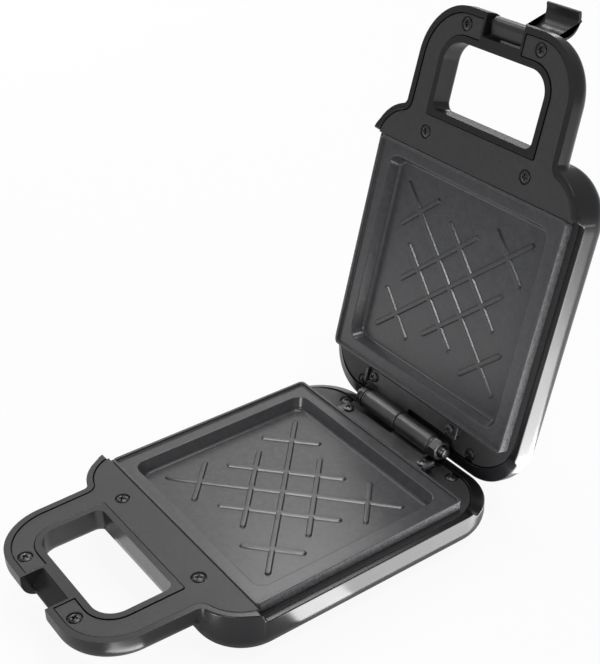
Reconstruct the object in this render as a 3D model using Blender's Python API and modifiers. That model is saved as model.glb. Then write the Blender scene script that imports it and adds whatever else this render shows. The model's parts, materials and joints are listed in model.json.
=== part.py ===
"""Single-slice toastie maker, lid open: two equal moulded halves on a bolt hinge, with a latch clip."""
import math

import bmesh
import bpy
from mathutils import Matrix, Vector

# Fits and walls that every piece shares
GAP = 0.0003                # between faces that touch
RUNNING_GAP = 0.0003        # between a pin and its bore
OVERRUN = 0.001             # how far a cut runs past a face, or a joined piece sinks into its carrier
SCREW_GAP = 0.0003          # round a screw's shank

# Cooking plate; heights are measured from the plane of its raised lip
PLATE_WIDTH = 0.130
PLATE_DEPTH = 0.1185
PLATE_CORNER = 0.0025
LIP_WIDTH = 0.0015
LIP_HEIGHT = 0.0015
RIM_WIDTH = 0.0093          # lip's outside to the cavity's mouth, across
RIM_DEPTH = 0.00755         # the same, front to back
CAVITY_DEPTH = 0.008
CAVITY_DRAFT = 0.0024
CAVITY_CORNER = 0.006
CAVITY_FILLET = 0.0018
PLATE_WALL = 0.003
SKIRT_HEIGHT = 0.0059
RIB_WIDTH = 0.0022
RIB_HEIGHT = 0.001
POST_RADIUS = 0.004
POST_INSET = 0.0075         # plate screw post from the cavity floor's edge

# Housing half
SIDE_MARGIN = 0.0065        # plate's side to the housing's outside
REAR_MARGIN = 0.02395
REAR_CORNER = 0.0265
REAR_RIM = 0.0072           # rear rim's width
REAR_SLOPE = 0.0033         # how far the rear rim falls to its outer edge, where the open lid meets it
REAR_SLOPE_START = 0.0038   # behind the plate
RIM_CORNER = 0.0248         # inside of the rear rim
SHOULDER_RADIUS = 0.0252
SHOULDER_SETBACK = 0.00465  # centre of the shoulder's arc behind the plate's front edge
UNDER_TRAY_GAP = 0.0014     # tray's screw heads to the housing's floor
BODY_ROUNDING = 0.011
WALL = 0.0032
FLOOR = 0.0026
SIDE_RIM_DROP = 0.0056      # side and rear rims lie this far under the lip's plane
RIM_END = 0.0013            # the high front rim ends this far in front of the plate
EAR_LENGTH = 0.0052
EAR_PROUD = 0.0009
EAR_TOP = 0.0012
BOSS_RADIUS = 0.0035
WINDOW_WIDTH = 0.0674
WINDOW_DEPTH = 0.035
WINDOW_REAR_CORNER = 0.004
WINDOW_FRONT_CORNER = 0.011
WINDOW_LEDGE = 0.002        # body's front to the window
ARM_WIDTH = 0.018
ARM_TAPER = 0.0007
ARM_ROOT = 0.0098           # how far the handle's solid reaches back into the body
GRIP_DEPTH = 0.017          # window to the handle's front
GRIP_CORNER_WIDTH = 0.027
GRIP_CORNER_DEPTH = 0.0288
HANDLE_DEPTH = 0.0135
HANDLE_ROUNDING = 0.009
WINDOW_ROUNDING = 0.004
HANDLE_LEDGE = 0.0012       # ledge inside the handle that the panel lies on

# Latch slot in the handle's front
SLOT_WIDTH = 0.0248
SLOT_DEPTH = 0.0114
SLOT_CHEEK = 0.0016         # slot to the panel's end
CHEEK_WALL = 0.0036         # slot to the hollow of the handle
BAR_RADIUS = 0.0026
BAR_SETBACK = 0.0032        # catch bar's axis behind the handle's front
BAR_DROP = 0.0056
PIN_RADIUS = 0.0015
PIN_SETBACK = 0.0042
PIN_DROP = 0.0058
PIN_SEAT = 0.0022           # how far the latch pin sits in each cheek

# Inner frame: front panel, riser, and the ledge round the plate
PANEL_RECESS = 0.0004
PANEL_THICKNESS = 0.0024
PANEL_GAP = 0.0004
RISER_WALL = 0.002
LEDGE_THICKNESS = 0.002
FRAME_OPENING_GAP = 0.0008
PAD_RADIUS = 0.004

# Reflector tray under the plate
SHEET = 0.0006
TRAY_FLANGE = 0.0045
TRAY_CORNER = 0.009

# Heating element
ELEMENT_RADIUS = 0.003
ELEMENT_POST_GAP = 0.0028   # leg to the plate's screw posts
ELEMENT_BEND = 0.016
ELEMENT_FRONT = 0.034
ELEMENT_END = 0.0022        # leg's end behind the tray

# Thermostat, fuse, terminals, leads
THERMOSTAT_RADIUS = 0.008
THERMOSTAT_HEIGHT = 0.0055
THERMOSTAT_BACK = 0.006
THERMOSTAT_STEP = 0.0016
FUSE_RADIUS = 0.0021
FUSE_LENGTH = 0.016
FUSE_TIP = 0.0035
TERMINAL_WIDTH = 0.022
TERMINAL_DEPTH = 0.008
TERMINAL_HEIGHT = 0.008
TERMINAL_SCREW_RADIUS = 0.0017
LEAD_RADIUS = 0.0009

# Screws
HEAD_RADIUS = 0.0028
HEAD_HEIGHT = 0.0016
HEAD_CROWN = 0.0006
RECESS_RADIUS = 0.0036
RECESS_DEPTH = 0.0014
SHANK_RADIUS = 0.0014
SCREW_LENGTH = 0.008
PLATE_SCREW_LENGTH = 0.006
GRIP_SCREW_SPREAD = 0.0243
GRIP_SCREW_SETBACK = 0.0082   # behind the handle's front
NECK_SCREW_SPREAD = 0.0346
NECK_SCREW_SETBACK = 0.01045  # in front of the plate
REAR_SCREW_INSET = 0.0290     # from the housing's side
REAR_SCREW_SETBACK = 0.01045  # in front of the rear wall's outside

# Hinge
OPEN_ANGLE = math.radians(105.0)
AXIS_HEIGHT = 0.0024        # above the lip's plane
AXIS_SETBACK = 0.01556      # behind the plate
BARREL_RADIUS = 0.0055
BARREL_LENGTH = 0.0255
BARREL_SEAM = 0.0003
BOLT_RADIUS = 0.003
LEAF_THICKNESS = 0.0016
LEAF_OVERHANG = 0.0027      # leaf's end past the nut
LEAF_MARGIN = 0.001         # plate's rear edge to the leaf
LEAF_DEPTH = 0.0078
LEAF_TAB_HEIGHT = 0.0022
LEAF_SCREW_INSET = 0.005    # from the leaf's end
WASHER_RADIUS = 0.0052
WASHER_THICKNESS = 0.0010
BOLT_HEAD_RADIUS = 0.0056
BOLT_HEAD_HEIGHT = 0.0042
NUT_RADIUS = 0.0058         # across corners, halved
NUT_HEIGHT = 0.0052
BOLT_END = 0.0032           # bolt past the nut

# Latch clip
CLIP_OPEN_ANGLE = math.radians(168.5)
CLIP_WIDTH = 0.0215
CLIP_ROOT_RADIUS = 0.0034
CLIP_THICKNESS = 0.0018
CLIP_STANDOFF = 0.0005      # clip's inside in front of the handles when shut
CLIP_TOOTH_REACH = 0.0017
CLIP_TOOTH_FLAT = 0.0006
CLIP_TOOTH_LENGTH = 0.0029
CLIP_REACH = 0.0245         # pin to the curl's centre, along the clip
CLIP_CURL_RADIUS = 0.0076
CLIP_CURL_END = 72.5        # degrees
CLIP_RIDGE = 0.001
CLIP_RIDGE_PLACE = 99.0     # degrees
CLIP_RIDGE_HALF = 5.0       # degrees

# Feet, gland, lamps
FOOT_RADIUS = 0.0065
FOOT_HEIGHT = 0.0035
FOOT_TAPER = 0.001
FOOT_SPIGOT = 0.0024
FOOT_INSET = 0.0315         # from the housing's side
FOOT_FRONT_INSET = 0.008    # behind the plate's front edge
FOOT_REAR_INSET = 0.0221    # in front of the rear wall's outside
GLAND_SPREAD = 0.014
GLAND_DROP = 0.0136
GLAND_RADIUS = 0.0039
GLAND_FLANGE = 0.0045
GLAND_FLANGE_THICKNESS = 0.0008
GLAND_BORE = 0.0031
LAMP_SPREAD = 0.008
LAMP_INSET = 0.0195         # behind the body's front
LAMP_RADIUS = 0.0034
LAMP_PROUD = 0.001
LAMP_FLANGE = 0.0012
LAMP_HOLDER_DEPTH = 0.010
LAMP_HOLDER_HEIGHT = 0.005
VENT_WIDTH = 0.0024
VENT_LENGTH = 0.024
VENT_PITCH = 0.008
VENT_COUNT = 5

# Facets
CORNER_STEPS = 6
SMALL_CORNER_STEPS = 3
ROUND_STEPS = 3
SMALL_ROUND_STEPS = 2
BARREL_SIDES = 20
POST_SIDES = 12
SCREW_SIDES = 8

# Rib pattern on a plate's floor: line ends as shares of the floor's half sizes
LONG_RIB_SHARES = (0.825, 0.795)
MIDDLE_RIB_SHARES = ((-0.182, 0.61), (0.636, -0.183))
SHORT_RIB_SHARES = ((0.40, 0.767), (0.80, 0.371))

# Places that follow from the sizes above, in the frame of one half:
# plate's centre in X and Y, lip's plane at Z = 0, the half's body below it
HALF_PLATE = PLATE_WIDTH / 2
PLATE_FRONT = -PLATE_DEPTH / 2
PLATE_REAR = PLATE_DEPTH / 2
MOUTH_X = HALF_PLATE - RIM_WIDTH
MOUTH_Y = PLATE_REAR - RIM_DEPTH
FLOOR_X = MOUTH_X - CAVITY_DRAFT
FLOOR_Y = MOUTH_Y - CAVITY_DRAFT
PAN_BOTTOM = -CAVITY_DEPTH - PLATE_WALL
SIDE = HALF_PLATE + SIDE_MARGIN
REAR = PLATE_REAR + REAR_MARGIN
SHOULDER_X = SIDE - SHOULDER_RADIUS
SHOULDER_Y = PLATE_FRONT + SHOULDER_SETBACK
BODY_FRONT = SHOULDER_Y - SHOULDER_RADIUS
WINDOW_REAR = BODY_FRONT - WINDOW_LEDGE
WINDOW_FRONT = WINDOW_REAR - WINDOW_DEPTH
HANDLE_FRONT = WINDOW_FRONT - GRIP_DEPTH
HALF_WINDOW = WINDOW_WIDTH / 2
HANDLE_SIDE = HALF_WINDOW + ARM_WIDTH
HALF_SLOT = SLOT_WIDTH / 2
SLOT_REAR = HANDLE_FRONT + SLOT_DEPTH
PANEL_TOP = -PANEL_RECESS
PANEL_BOTTOM = PANEL_TOP - PANEL_THICKNESS
LEDGE_TOP = -SKIRT_HEIGHT - GAP
LEDGE_BOTTOM = LEDGE_TOP - LEDGE_THICKNESS
RIM_BOTTOM = LEDGE_BOTTOM - OVERRUN
PANEL_REAR = PLATE_FRONT - GAP
PAN_X = MOUTH_X - CAVITY_DRAFT / 2 + PLATE_WALL
PAN_Y = MOUTH_Y - CAVITY_DRAFT / 2 + PLATE_WALL
OPENING_X = PAN_X + FRAME_OPENING_GAP
OPENING_Y = PAN_Y + FRAME_OPENING_GAP
TRAY_TOP = LEDGE_BOTTOM - GAP
ELEMENT_Z = PAN_BOTTOM - GAP - ELEMENT_RADIUS
TRAY_FLOOR = ELEMENT_Z - ELEMENT_RADIUS - OVERRUN
BODY_FLOOR = TRAY_FLOOR - SHEET - HEAD_HEIGHT - UNDER_TRAY_GAP
BODY_DEPTH = FLOOR - BODY_FLOOR
ELEMENT_SPREAD = FLOOR_X - POST_INSET - POST_RADIUS - ELEMENT_POST_GAP - ELEMENT_RADIUS
TERMINAL_PITCH = TERMINAL_WIDTH / 3
FUSE_X = (TERMINAL_PITCH - ELEMENT_SPREAD) / 2   # halfway from the element's leg to its terminal
POST_BOTTOM = TRAY_FLOOR + GAP
AXIS_Y = PLATE_REAR + AXIS_SETBACK
WASHER_START = BARREL_LENGTH + GAP
NUT_START = WASHER_START + WASHER_THICKNESS + GAP
LEAF_HALF_WIDTH = NUT_START + NUT_HEIGHT + LEAF_OVERHANG
LEAF_BOTTOM = AXIS_HEIGHT - BARREL_RADIUS
LEAF_TOP = LEAF_BOTTOM + LEAF_THICKNESS
LEAF_FRONT = PLATE_REAR + LEAF_MARGIN
LEAF_SCREW_Y = LEAF_FRONT + LEAF_DEPTH / 2
LEAF_SCREW_SPREAD = LEAF_HALF_WIDTH - LEAF_SCREW_INSET
PIN_Y = HANDLE_FRONT + PIN_SETBACK
BAR_Y = HANDLE_FRONT + BAR_SETBACK
GROUND = -BODY_DEPTH - FOOT_HEIGHT
LAMP_Y = BODY_FRONT + LAMP_INSET
FOOT_SPREAD = SIDE - FOOT_INSET
REAR_SCREW_SPREAD = SIDE - REAR_SCREW_INSET

FRAME_SCREWS = (
    (GRIP_SCREW_SPREAD, HANDLE_FRONT + GRIP_SCREW_SETBACK, PANEL_TOP),
    (NECK_SCREW_SPREAD, PLATE_FRONT - NECK_SCREW_SETBACK, PANEL_TOP),
    (REAR_SCREW_SPREAD, REAR - REAR_SCREW_SETBACK, LEDGE_TOP),
)

# Colours: red, green, blue, roughness, metallic
FINISHES = {
    "gloss_black": (0.018, 0.018, 0.020, 0.16, 0.0),
    "satin_black": (0.075, 0.075, 0.077, 0.55, 0.0),
    "nonstick": (0.105, 0.105, 0.110, 0.48, 0.0),
    "dark_steel": (0.16, 0.16, 0.165, 0.34, 1.0),
    "blackened_screw": (0.06, 0.06, 0.062, 0.35, 1.0),
    "tray_steel": (0.62, 0.62, 0.60, 0.38, 1.0),
    "element_steel": (0.35, 0.33, 0.31, 0.42, 1.0),
    "ceramic": (0.82, 0.80, 0.74, 0.60, 0.0),
    "lead_sleeve": (0.78, 0.76, 0.70, 0.70, 0.0),
    "foot_rubber": (0.03, 0.03, 0.03, 0.80, 0.0),
    "red_lens": (0.55, 0.02, 0.015, 0.12, 0.0),
    "green_lens": (0.02, 0.38, 0.06, 0.12, 0.0),
}


def clear_scene():
    for obj in list(bpy.data.objects):
        bpy.data.objects.remove(obj, do_unlink=True)


def new_collection(name):
    group = bpy.data.collections.new(name)
    bpy.context.scene.collection.children.link(group)
    return group


def make_finish(name):
    red, green, blue, roughness, metallic = FINISHES[name]
    finish = bpy.data.materials.get(name) or bpy.data.materials.new(name)
    finish.use_nodes = True
    shader = finish.node_tree.nodes["Principled BSDF"]
    shader.inputs["Base Color"].default_value = (red, green, blue, 1.0)
    shader.inputs["Roughness"].default_value = roughness
    shader.inputs["Metallic"].default_value = metallic
    finish.diffuse_color = (red, green, blue, 1.0)
    return finish


def add_object(name, data):
    """A working solid; it stays with the cutters until it becomes a part."""
    obj = bpy.data.objects.new(name, data)
    bpy.data.collections["cutters"].objects.link(obj)
    obj.display_type = "WIRE"
    obj.hide_render = True
    return obj


def to_mesh(obj):
    """The evaluated object as a welded mesh whose place is in its points."""
    bpy.context.view_layer.update()
    evaluated = obj.evaluated_get(bpy.context.evaluated_depsgraph_get())
    mesh = bpy.data.meshes.new_from_object(evaluated)
    mesh.transform(obj.matrix_world)
    work = bmesh.new()
    work.from_mesh(mesh)
    bmesh.ops.remove_doubles(work, verts=work.verts, dist=0.000001)
    work.to_mesh(mesh)
    work.free()
    solid = add_object(obj.name, mesh)
    bpy.data.objects.remove(obj, do_unlink=True)
    return solid


def boolean(target, tools, operation):
    for tool in tools:
        step = target.modifiers.new("Boolean", "BOOLEAN")
        step.operation = operation
        step.solver = "EXACT"
        step.object = tool
        target = to_mesh(target)
        bpy.data.objects.remove(tool, do_unlink=True)
    return target


def join(target, *tools):
    return boolean(target, tools, "UNION")


def cut(target, *tools):
    return boolean(target, tools, "DIFFERENCE")


def loft(name, rings):
    """Closed solid through rings that have equally many points."""
    work = bmesh.new()
    rows = [[work.verts.new(point) for point in ring] for ring in rings]
    for low, high in zip(rows, rows[1:]):
        for index in range(len(low)):
            after = (index + 1) % len(low)
            work.faces.new((low[index], low[after], high[after], high[index]))
    work.faces.new(rows[0][::-1])
    work.faces.new(rows[-1])
    bmesh.ops.recalc_face_normals(work, faces=work.faces)
    mesh = bpy.data.meshes.new(name)
    work.to_mesh(mesh)
    work.free()
    return add_object(name, mesh)


def level(outline, height):
    return [(x, y, height) for x, y in outline]


def prism(name, outline, low, high):
    return loft(name, [level(outline, low), level(outline, high)])


def side_prism(name, profile, left, right):
    """Profile of (y, z) points carried along X."""
    return loft(name, [[(x, y, z) for y, z in profile] for x in (left, right)])


def block(name, low, high):
    outline = [(low[0], low[1]), (high[0], low[1]), (high[0], high[1]), (low[0], high[1])]
    return prism(name, outline, low[2], high[2])


def arc(centre, radii, start, end, steps):
    points = []
    for index in range(steps + 1):
        angle = math.radians(start + (end - start) * index / steps)
        points.append((centre[0] + radii[0] * math.cos(angle), centre[1] + radii[1] * math.sin(angle)))
    return points


def both_sides(right_half):
    """Outline from its right half, which runs from back to front."""
    return right_half + [(-x, y) for x, y in reversed(right_half)]


def rounded_rectangle(half_width, front, rear, front_radius, rear_radius, steps):
    right = arc((half_width - rear_radius, rear - rear_radius), (rear_radius, rear_radius), 90, 0, steps)
    right += arc((half_width - front_radius, front + front_radius), (front_radius, front_radius), 0, -90,
                 steps)
    return both_sides(right)


def grown(outline, distance):
    """The outline moved out by a distance, or in by a negative one."""
    count = len(outline)
    area = sum(outline[i][0] * outline[(i + 1) % count][1] - outline[(i + 1) % count][0] * outline[i][1]
               for i in range(count))
    turn = 1.0 if area > 0 else -1.0
    moved = []
    for index in range(count):
        before, here, after = (Vector(outline[(index + step) % count]) for step in (-1, 0, 1))
        normals = []
        for start, end in ((before, here), (here, after)):
            along = (end - start).normalized()
            normals.append(Vector((along.y, -along.x)) * turn)
        middle = (normals[0] + normals[1]).normalized()
        point = here + middle * distance / middle.dot(normals[0])
        moved.append((point.x, point.y))
    return moved


def rounded_solid(name, outline, top, bottom, radius, steps):
    """Prism whose lower edge is rounded."""
    rings = [level(outline, top)]
    for index in range(steps + 1):
        angle = math.pi / 2 * index / steps
        inset = radius * (1 - math.cos(angle))
        rings.append(level(grown(outline, -inset), bottom + radius * (1 - math.sin(angle))))
    return loft(name, rings)


def flared_cutter(name, outline, top, bottom, radius, steps):
    """Cutter for a window whose lower edge is rounded outwards."""
    rings = [level(outline, top)]
    for index in range(steps + 1):
        angle = math.pi / 2 * index / steps
        rings.append(level(grown(outline, radius * (1 - math.cos(angle))),
                           bottom + radius * (1 - math.sin(angle))))
    rings.append(level(grown(outline, radius), bottom - OVERRUN))
    return loft(name, rings)


def post(name, x, y, low, high, radius, sides=POST_SIDES):
    outline = arc((x, y), (radius, radius), 0, 360 - 360 / sides, sides - 1)
    return prism(name, outline, low, high)


def rod(name, left, right, y, z, radius, sides=BARREL_SIDES):
    """Round bar along X."""
    circle = arc((y, z), (radius, radius), 0, 360 - 360 / sides, sides - 1)
    return side_prism(name, circle, left, right)


def turned(name, profile, sides):
    """Profile of (radius, height), from the top down, spun about Z."""
    mesh = bpy.data.meshes.new(name)
    mesh.from_pydata([(radius, 0.0, height) for radius, height in profile],
                     [(index, index + 1) for index in range(len(profile) - 1)], [])
    obj = add_object(name, mesh)
    spin = obj.modifiers.new("Screw", "SCREW")
    spin.steps = sides
    spin.render_steps = sides
    spin.use_merge_vertices = True
    spin.merge_threshold = 0.00001
    return to_mesh(obj)


def moved(obj, offset, axis="Z"):
    """Shift a solid; axis X first turns its own Z towards X."""
    turn = Matrix.Rotation(math.pi / 2, 4, "Y") if axis == "X" else Matrix.Identity(4)
    if axis == "-Z":
        turn = Matrix.Rotation(math.pi, 4, "Y")
    obj.data.transform(Matrix.Translation(offset) @ turn)
    return obj


def tube(name, points, radius, resolution=2):
    data = bpy.data.curves.new(name, "CURVE")
    data.dimensions = "3D"
    data.bevel_depth = radius
    data.bevel_resolution = resolution
    data.use_fill_caps = True
    spline = data.splines.new("POLY")
    spline.points.add(len(points) - 1)
    for knot, point in zip(spline.points, points):
        knot.co = (*point, 1.0)
    return to_mesh(add_object(name, data))


def smooth_route(points, steps=2):
    """Catmull-Rom curve through the route's points."""
    knots = [Vector(point) for point in points]
    ends = [knots[0]] + knots + [knots[-1]]
    route = []
    for index in range(len(knots) - 1):
        first, start, end, last = ends[index:index + 4]
        for step in range(steps):
            t = step / steps
            bend = 2 * first - 5 * start + 4 * end - last
            twist = 3 * start - first - 3 * end + last
            route.append(0.5 * (2 * start + (end - first) * t + bend * t ** 2 + twist * t ** 3))
    route.append(knots[-1])
    return route


# Outlines of the housing half

def body_outline():
    right = arc((SIDE - REAR_CORNER, REAR - REAR_CORNER), (REAR_CORNER, REAR_CORNER), 90, 0, CORNER_STEPS)
    right += arc((SHOULDER_X, SHOULDER_Y), (SHOULDER_RADIUS, SHOULDER_RADIUS), 0, -90, CORNER_STEPS)
    return both_sides(right)


def rim_outline():
    """Inside of the rims, which the inner frame fills."""
    corner = (SIDE - WALL - RIM_CORNER, REAR - REAR_RIM - RIM_CORNER)
    right = arc(corner, (RIM_CORNER, RIM_CORNER), 90, 0, CORNER_STEPS)
    radius = SHOULDER_RADIUS - WALL
    right += arc((SHOULDER_X, SHOULDER_Y), (radius, radius), 0, -90, CORNER_STEPS)
    return both_sides(right)


def handle_outline():
    corner_x = HANDLE_SIDE - ARM_TAPER - GRIP_CORNER_WIDTH
    corner_y = HANDLE_FRONT + GRIP_CORNER_DEPTH
    right = [(HANDLE_SIDE, BODY_FRONT + ARM_ROOT), (HANDLE_SIDE, WINDOW_REAR)]
    right += arc((corner_x, corner_y), (GRIP_CORNER_WIDTH, GRIP_CORNER_DEPTH), 0, -90, CORNER_STEPS)
    return both_sides(right)


def window_outline():
    return rounded_rectangle(HALF_WINDOW, WINDOW_FRONT, WINDOW_REAR, WINDOW_FRONT_CORNER,
                             WINDOW_REAR_CORNER, SMALL_CORNER_STEPS)


def wide_block(name, front, rear, low, high):
    return block(name, (-SIDE - OVERRUN, front, low), (SIDE + OVERRUN, rear, high))


def grip_panel(name, margin, end, low, high):
    """Handle's share of the front panel, or of its seat: its outline and window drawn in by a margin."""
    grip = prism(name, grown(handle_outline(), -margin), low, high)
    window = prism("window_zone", grown(window_outline(), margin), low - OVERRUN, high + OVERRUN)
    slot = block("slot_zone", (-HALF_SLOT - end, HANDLE_FRONT - OVERRUN, low - OVERRUN),
                 (HALF_SLOT + end, WINDOW_FRONT - OVERRUN, high + OVERRUN))
    return cut(grip, window, slot)


def screw_places(places):
    return [(side * x, y, top) for x, y, top in places for side in (-1, 1)]


def make_ear(side):
    """Step where the high front rim drops to the side rim."""
    front = PLATE_FRONT - RIM_END - EAR_LENGTH / 2
    drop = SIDE_RIM_DROP
    profile = [(front, -drop - OVERRUN), (front, -EAR_TOP - EAR_LENGTH / 8),
               (front + EAR_LENGTH / 8, -EAR_TOP), (front + EAR_LENGTH / 2, -EAR_TOP)]
    profile += arc((front + EAR_LENGTH, -EAR_TOP), (EAR_LENGTH / 2, drop - EAR_TOP), 180, 270,
                   SMALL_CORNER_STEPS)
    profile += [(front + EAR_LENGTH, -drop - OVERRUN)]
    inner, outer = sorted((side * (SIDE - WALL + GAP), side * (SIDE + EAR_PROUD)))
    return side_prism("ear", profile, inner, outer)


def rear_slope():
    """Cutter that slopes the rear rim down towards its outer edge."""
    top, past = -SIDE_RIM_DROP, OVERRUN * REAR_SLOPE / REAR_RIM
    kept = loft("kept", [level(grown(body_outline(), OVERRUN), top - REAR_SLOPE - past),
                         level(grown(body_outline(), -REAR_RIM - OVERRUN), top + past)])
    return cut(wide_block("slope", PLATE_REAR + REAR_SLOPE_START, REAR + OVERRUN, top - REAR_SLOPE - past / 2,
                          top + past / 2), kept)


def make_housing(name, is_lid):
    """Moulded half: a deep rounded tray that runs on into a hollow loop handle."""
    shell = rounded_solid(name, body_outline(), OVERRUN, -BODY_DEPTH, BODY_ROUNDING, ROUND_STEPS)
    loop = rounded_solid("loop", handle_outline(), 2 * OVERRUN, -HANDLE_DEPTH, HANDLE_ROUNDING, ROUND_STEPS)
    loop = cut(loop, flared_cutter("window", window_outline(), 3 * OVERRUN, -HANDLE_DEPTH, WINDOW_ROUNDING,
                                   SMALL_ROUND_STEPS))
    shell = join(shell, loop)
    shell = cut(shell, wide_block("above", HANDLE_FRONT - OVERRUN, REAR + OVERRUN, 0, 4 * OVERRUN))
    rim_end = PLATE_FRONT - RIM_END
    shell = cut(shell, wide_block("side_step", rim_end, REAR + OVERRUN, -SIDE_RIM_DROP, OVERRUN))
    shell = cut(shell, rear_slope())
    shell = join(shell, make_ear(-1), make_ear(1))
    hollow = rounded_solid("hollow", grown(body_outline(), GAP - WALL), RIM_BOTTOM, BODY_FLOOR,
                           BODY_ROUNDING - WALL, SMALL_ROUND_STEPS)
    mouth = prism("mouth", rim_outline(), RIM_BOTTOM - OVERRUN, OVERRUN)
    seat = grip_panel("seat", WALL, SLOT_CHEEK - GAP, PANEL_BOTTOM - GAP, 2 * OVERRUN)
    channel = grip_panel("channel", WALL + HANDLE_LEDGE, CHEEK_WALL, -HANDLE_DEPTH + WALL, PANEL_BOTTOM)
    shell = cut(shell, hollow, mouth, seat, channel)
    shell = cut(shell, block("slot", (-HALF_SLOT, HANDLE_FRONT - OVERRUN, -BODY_DEPTH),
                             (HALF_SLOT, SLOT_REAR, OVERRUN)))
    bosses = []
    for x, y, top in screw_places(FRAME_SCREWS):
        inside = HANDLE_DEPTH - WALL if y < BODY_FRONT else BODY_DEPTH - FLOOR
        under = (PANEL_BOTTOM if top == PANEL_TOP else LEDGE_BOTTOM) - GAP
        bosses.append(post("boss", x, y, -inside - OVERRUN, under, BOSS_RADIUS))
    for side in (-1, 1):
        bosses.append(post("leaf_boss", side * LEAF_SCREW_SPREAD, LEAF_SCREW_Y, BODY_FLOOR - OVERRUN,
                           LEDGE_BOTTOM - GAP, BOSS_RADIUS))
    shell = join(shell, *bosses)
    holes = []
    for x, y, top in screw_places(FRAME_SCREWS):
        seat_top = top - RECESS_DEPTH
        holes.append(post("hole", x, y, seat_top - SCREW_LENGTH - OVERRUN, 0, SHANK_RADIUS + SCREW_GAP,
                          SCREW_SIDES))
    for side in (-1, 1):
        holes.append(post("hole", side * LEAF_SCREW_SPREAD, LEAF_SCREW_Y, LEAF_TOP - SCREW_LENGTH - OVERRUN,
                          0, SHANK_RADIUS + SCREW_GAP, SCREW_SIDES))
    shell = cut(shell, *holes)
    return finish_lid_shell(shell) if is_lid else finish_base_shell(shell)


def finish_base_shell(shell):
    """Catch bar, feet holes, vents and the gland's hole."""
    shell = join(shell, rod("bar", -HALF_SLOT - OVERRUN, HALF_SLOT + OVERRUN, BAR_Y, -BAR_DROP, BAR_RADIUS,
                            POST_SIDES))
    cutters = [post("foot_hole", x, y, -BODY_DEPTH - OVERRUN, BODY_FLOOR + OVERRUN, FOOT_SPIGOT + GAP)
               for x, y in foot_places()]
    for index in range(VENT_COUNT):
        x = (index - (VENT_COUNT - 1) / 2) * VENT_PITCH
        slot = rounded_rectangle(VENT_WIDTH / 2, -VENT_LENGTH / 2, VENT_LENGTH / 2, VENT_WIDTH / 2 - GAP,
                                 VENT_WIDTH / 2 - GAP, SMALL_ROUND_STEPS)
        cutters.append(prism("vent", [(px + x, py) for px, py in slot], -BODY_DEPTH - OVERRUN,
                             BODY_FLOOR + OVERRUN))
    shell = cut(shell, *cutters)
    hole = post("gland_hole", 0, 0, -2 * WALL, WALL, GLAND_RADIUS + GAP)
    hole.data.transform(gland_place())
    return cut(shell, hole)


def finish_lid_shell(shell):
    """Holes for the latch pin and the lamps."""
    pin_hole = rod("pin_hole", -HALF_SLOT - PIN_SEAT - GAP, HALF_SLOT + PIN_SEAT + GAP, PIN_Y, -PIN_DROP,
                   PIN_RADIUS + GAP, POST_SIDES)
    lamp_holes = [post("lamp_hole", side * LAMP_SPREAD, LAMP_Y, -BODY_DEPTH - OVERRUN, BODY_FLOOR + OVERRUN,
                       LAMP_RADIUS + GAP) for side in (-1, 1)]
    return cut(shell, pin_hole, *lamp_holes)


def make_inner_frame(name):
    """Matt moulding that closes the half round its plate: front panel, riser and ledge."""
    frame = prism(name, grown(rim_outline(), -PANEL_GAP), LEDGE_BOTTOM, PANEL_TOP)
    frame = cut(frame, wide_block("above_ledge", PANEL_REAR, REAR, LEDGE_TOP, OVERRUN),
                wide_block("under_panel", HANDLE_FRONT, PANEL_REAR - RISER_WALL, -BODY_DEPTH, PANEL_BOTTOM))
    grip = grip_panel("grip", WALL + PANEL_GAP, SLOT_CHEEK, PANEL_BOTTOM, PANEL_TOP)
    pads = [post("pad", side * LEAF_SCREW_SPREAD, LEAF_SCREW_Y, LEDGE_BOTTOM + GAP, LEAF_BOTTOM - GAP,
                 PAD_RADIUS) for side in (-1, 1)]
    frame = join(frame, grip, *pads)
    opening = rounded_rectangle(OPENING_X, -OPENING_Y, OPENING_Y, TRAY_CORNER, TRAY_CORNER,
                                SMALL_CORNER_STEPS)
    cutters = [prism("opening", opening, -BODY_DEPTH, OVERRUN)]
    for x, y, top in screw_places(FRAME_SCREWS):
        cutters.append(post("recess", x, y, top - RECESS_DEPTH, OVERRUN, RECESS_RADIUS))
        cutters.append(post("hole", x, y, -BODY_DEPTH, 0, SHANK_RADIUS + SCREW_GAP, SCREW_SIDES))
    for side in (-1, 1):
        cutters.append(post("hole", side * LEAF_SCREW_SPREAD, LEAF_SCREW_Y, -BODY_DEPTH, 0,
                            SHANK_RADIUS + SCREW_GAP, SCREW_SIDES))
    return cut(frame, *cutters)


# Cooking plate

def rib(name, start, end):
    """Raised bar with round ends on the plate's floor."""
    start, end = Vector(start), Vector(end)
    angle = math.degrees(math.atan2(end.y - start.y, end.x - start.x))
    low, high = -CAVITY_DEPTH - OVERRUN, -CAVITY_DEPTH + RIB_HEIGHT
    rings = []
    for radius, height in ((RIB_WIDTH / 2, low), (RIB_WIDTH / 2 - RIB_HEIGHT / 4, high)):
        outline = arc(end, (radius, radius), angle - 90, angle + 90, SMALL_ROUND_STEPS)
        outline += arc(start, (radius, radius), angle + 90, angle + 270, SMALL_ROUND_STEPS)
        rings.append(level(outline, height))
    return loft(name, rings)


def rib_lines():
    """Crossed diagonals, their shorter parallels, and a short stroke over each end."""
    lines = []
    x, y = LONG_RIB_SHARES
    for side in (-1, 1):
        lines.append(((-x * side, y), (x * side, -y)))
        for turn in (-1, 1):
            lines.append(tuple((px * side * turn, py * turn) for px, py in MIDDLE_RIB_SHARES))
            lines.append(tuple((px * side, py * turn) for px, py in SHORT_RIB_SHARES))
    return [[(px * FLOOR_X, py * FLOOR_Y) for px, py in line] for line in lines]


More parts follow.
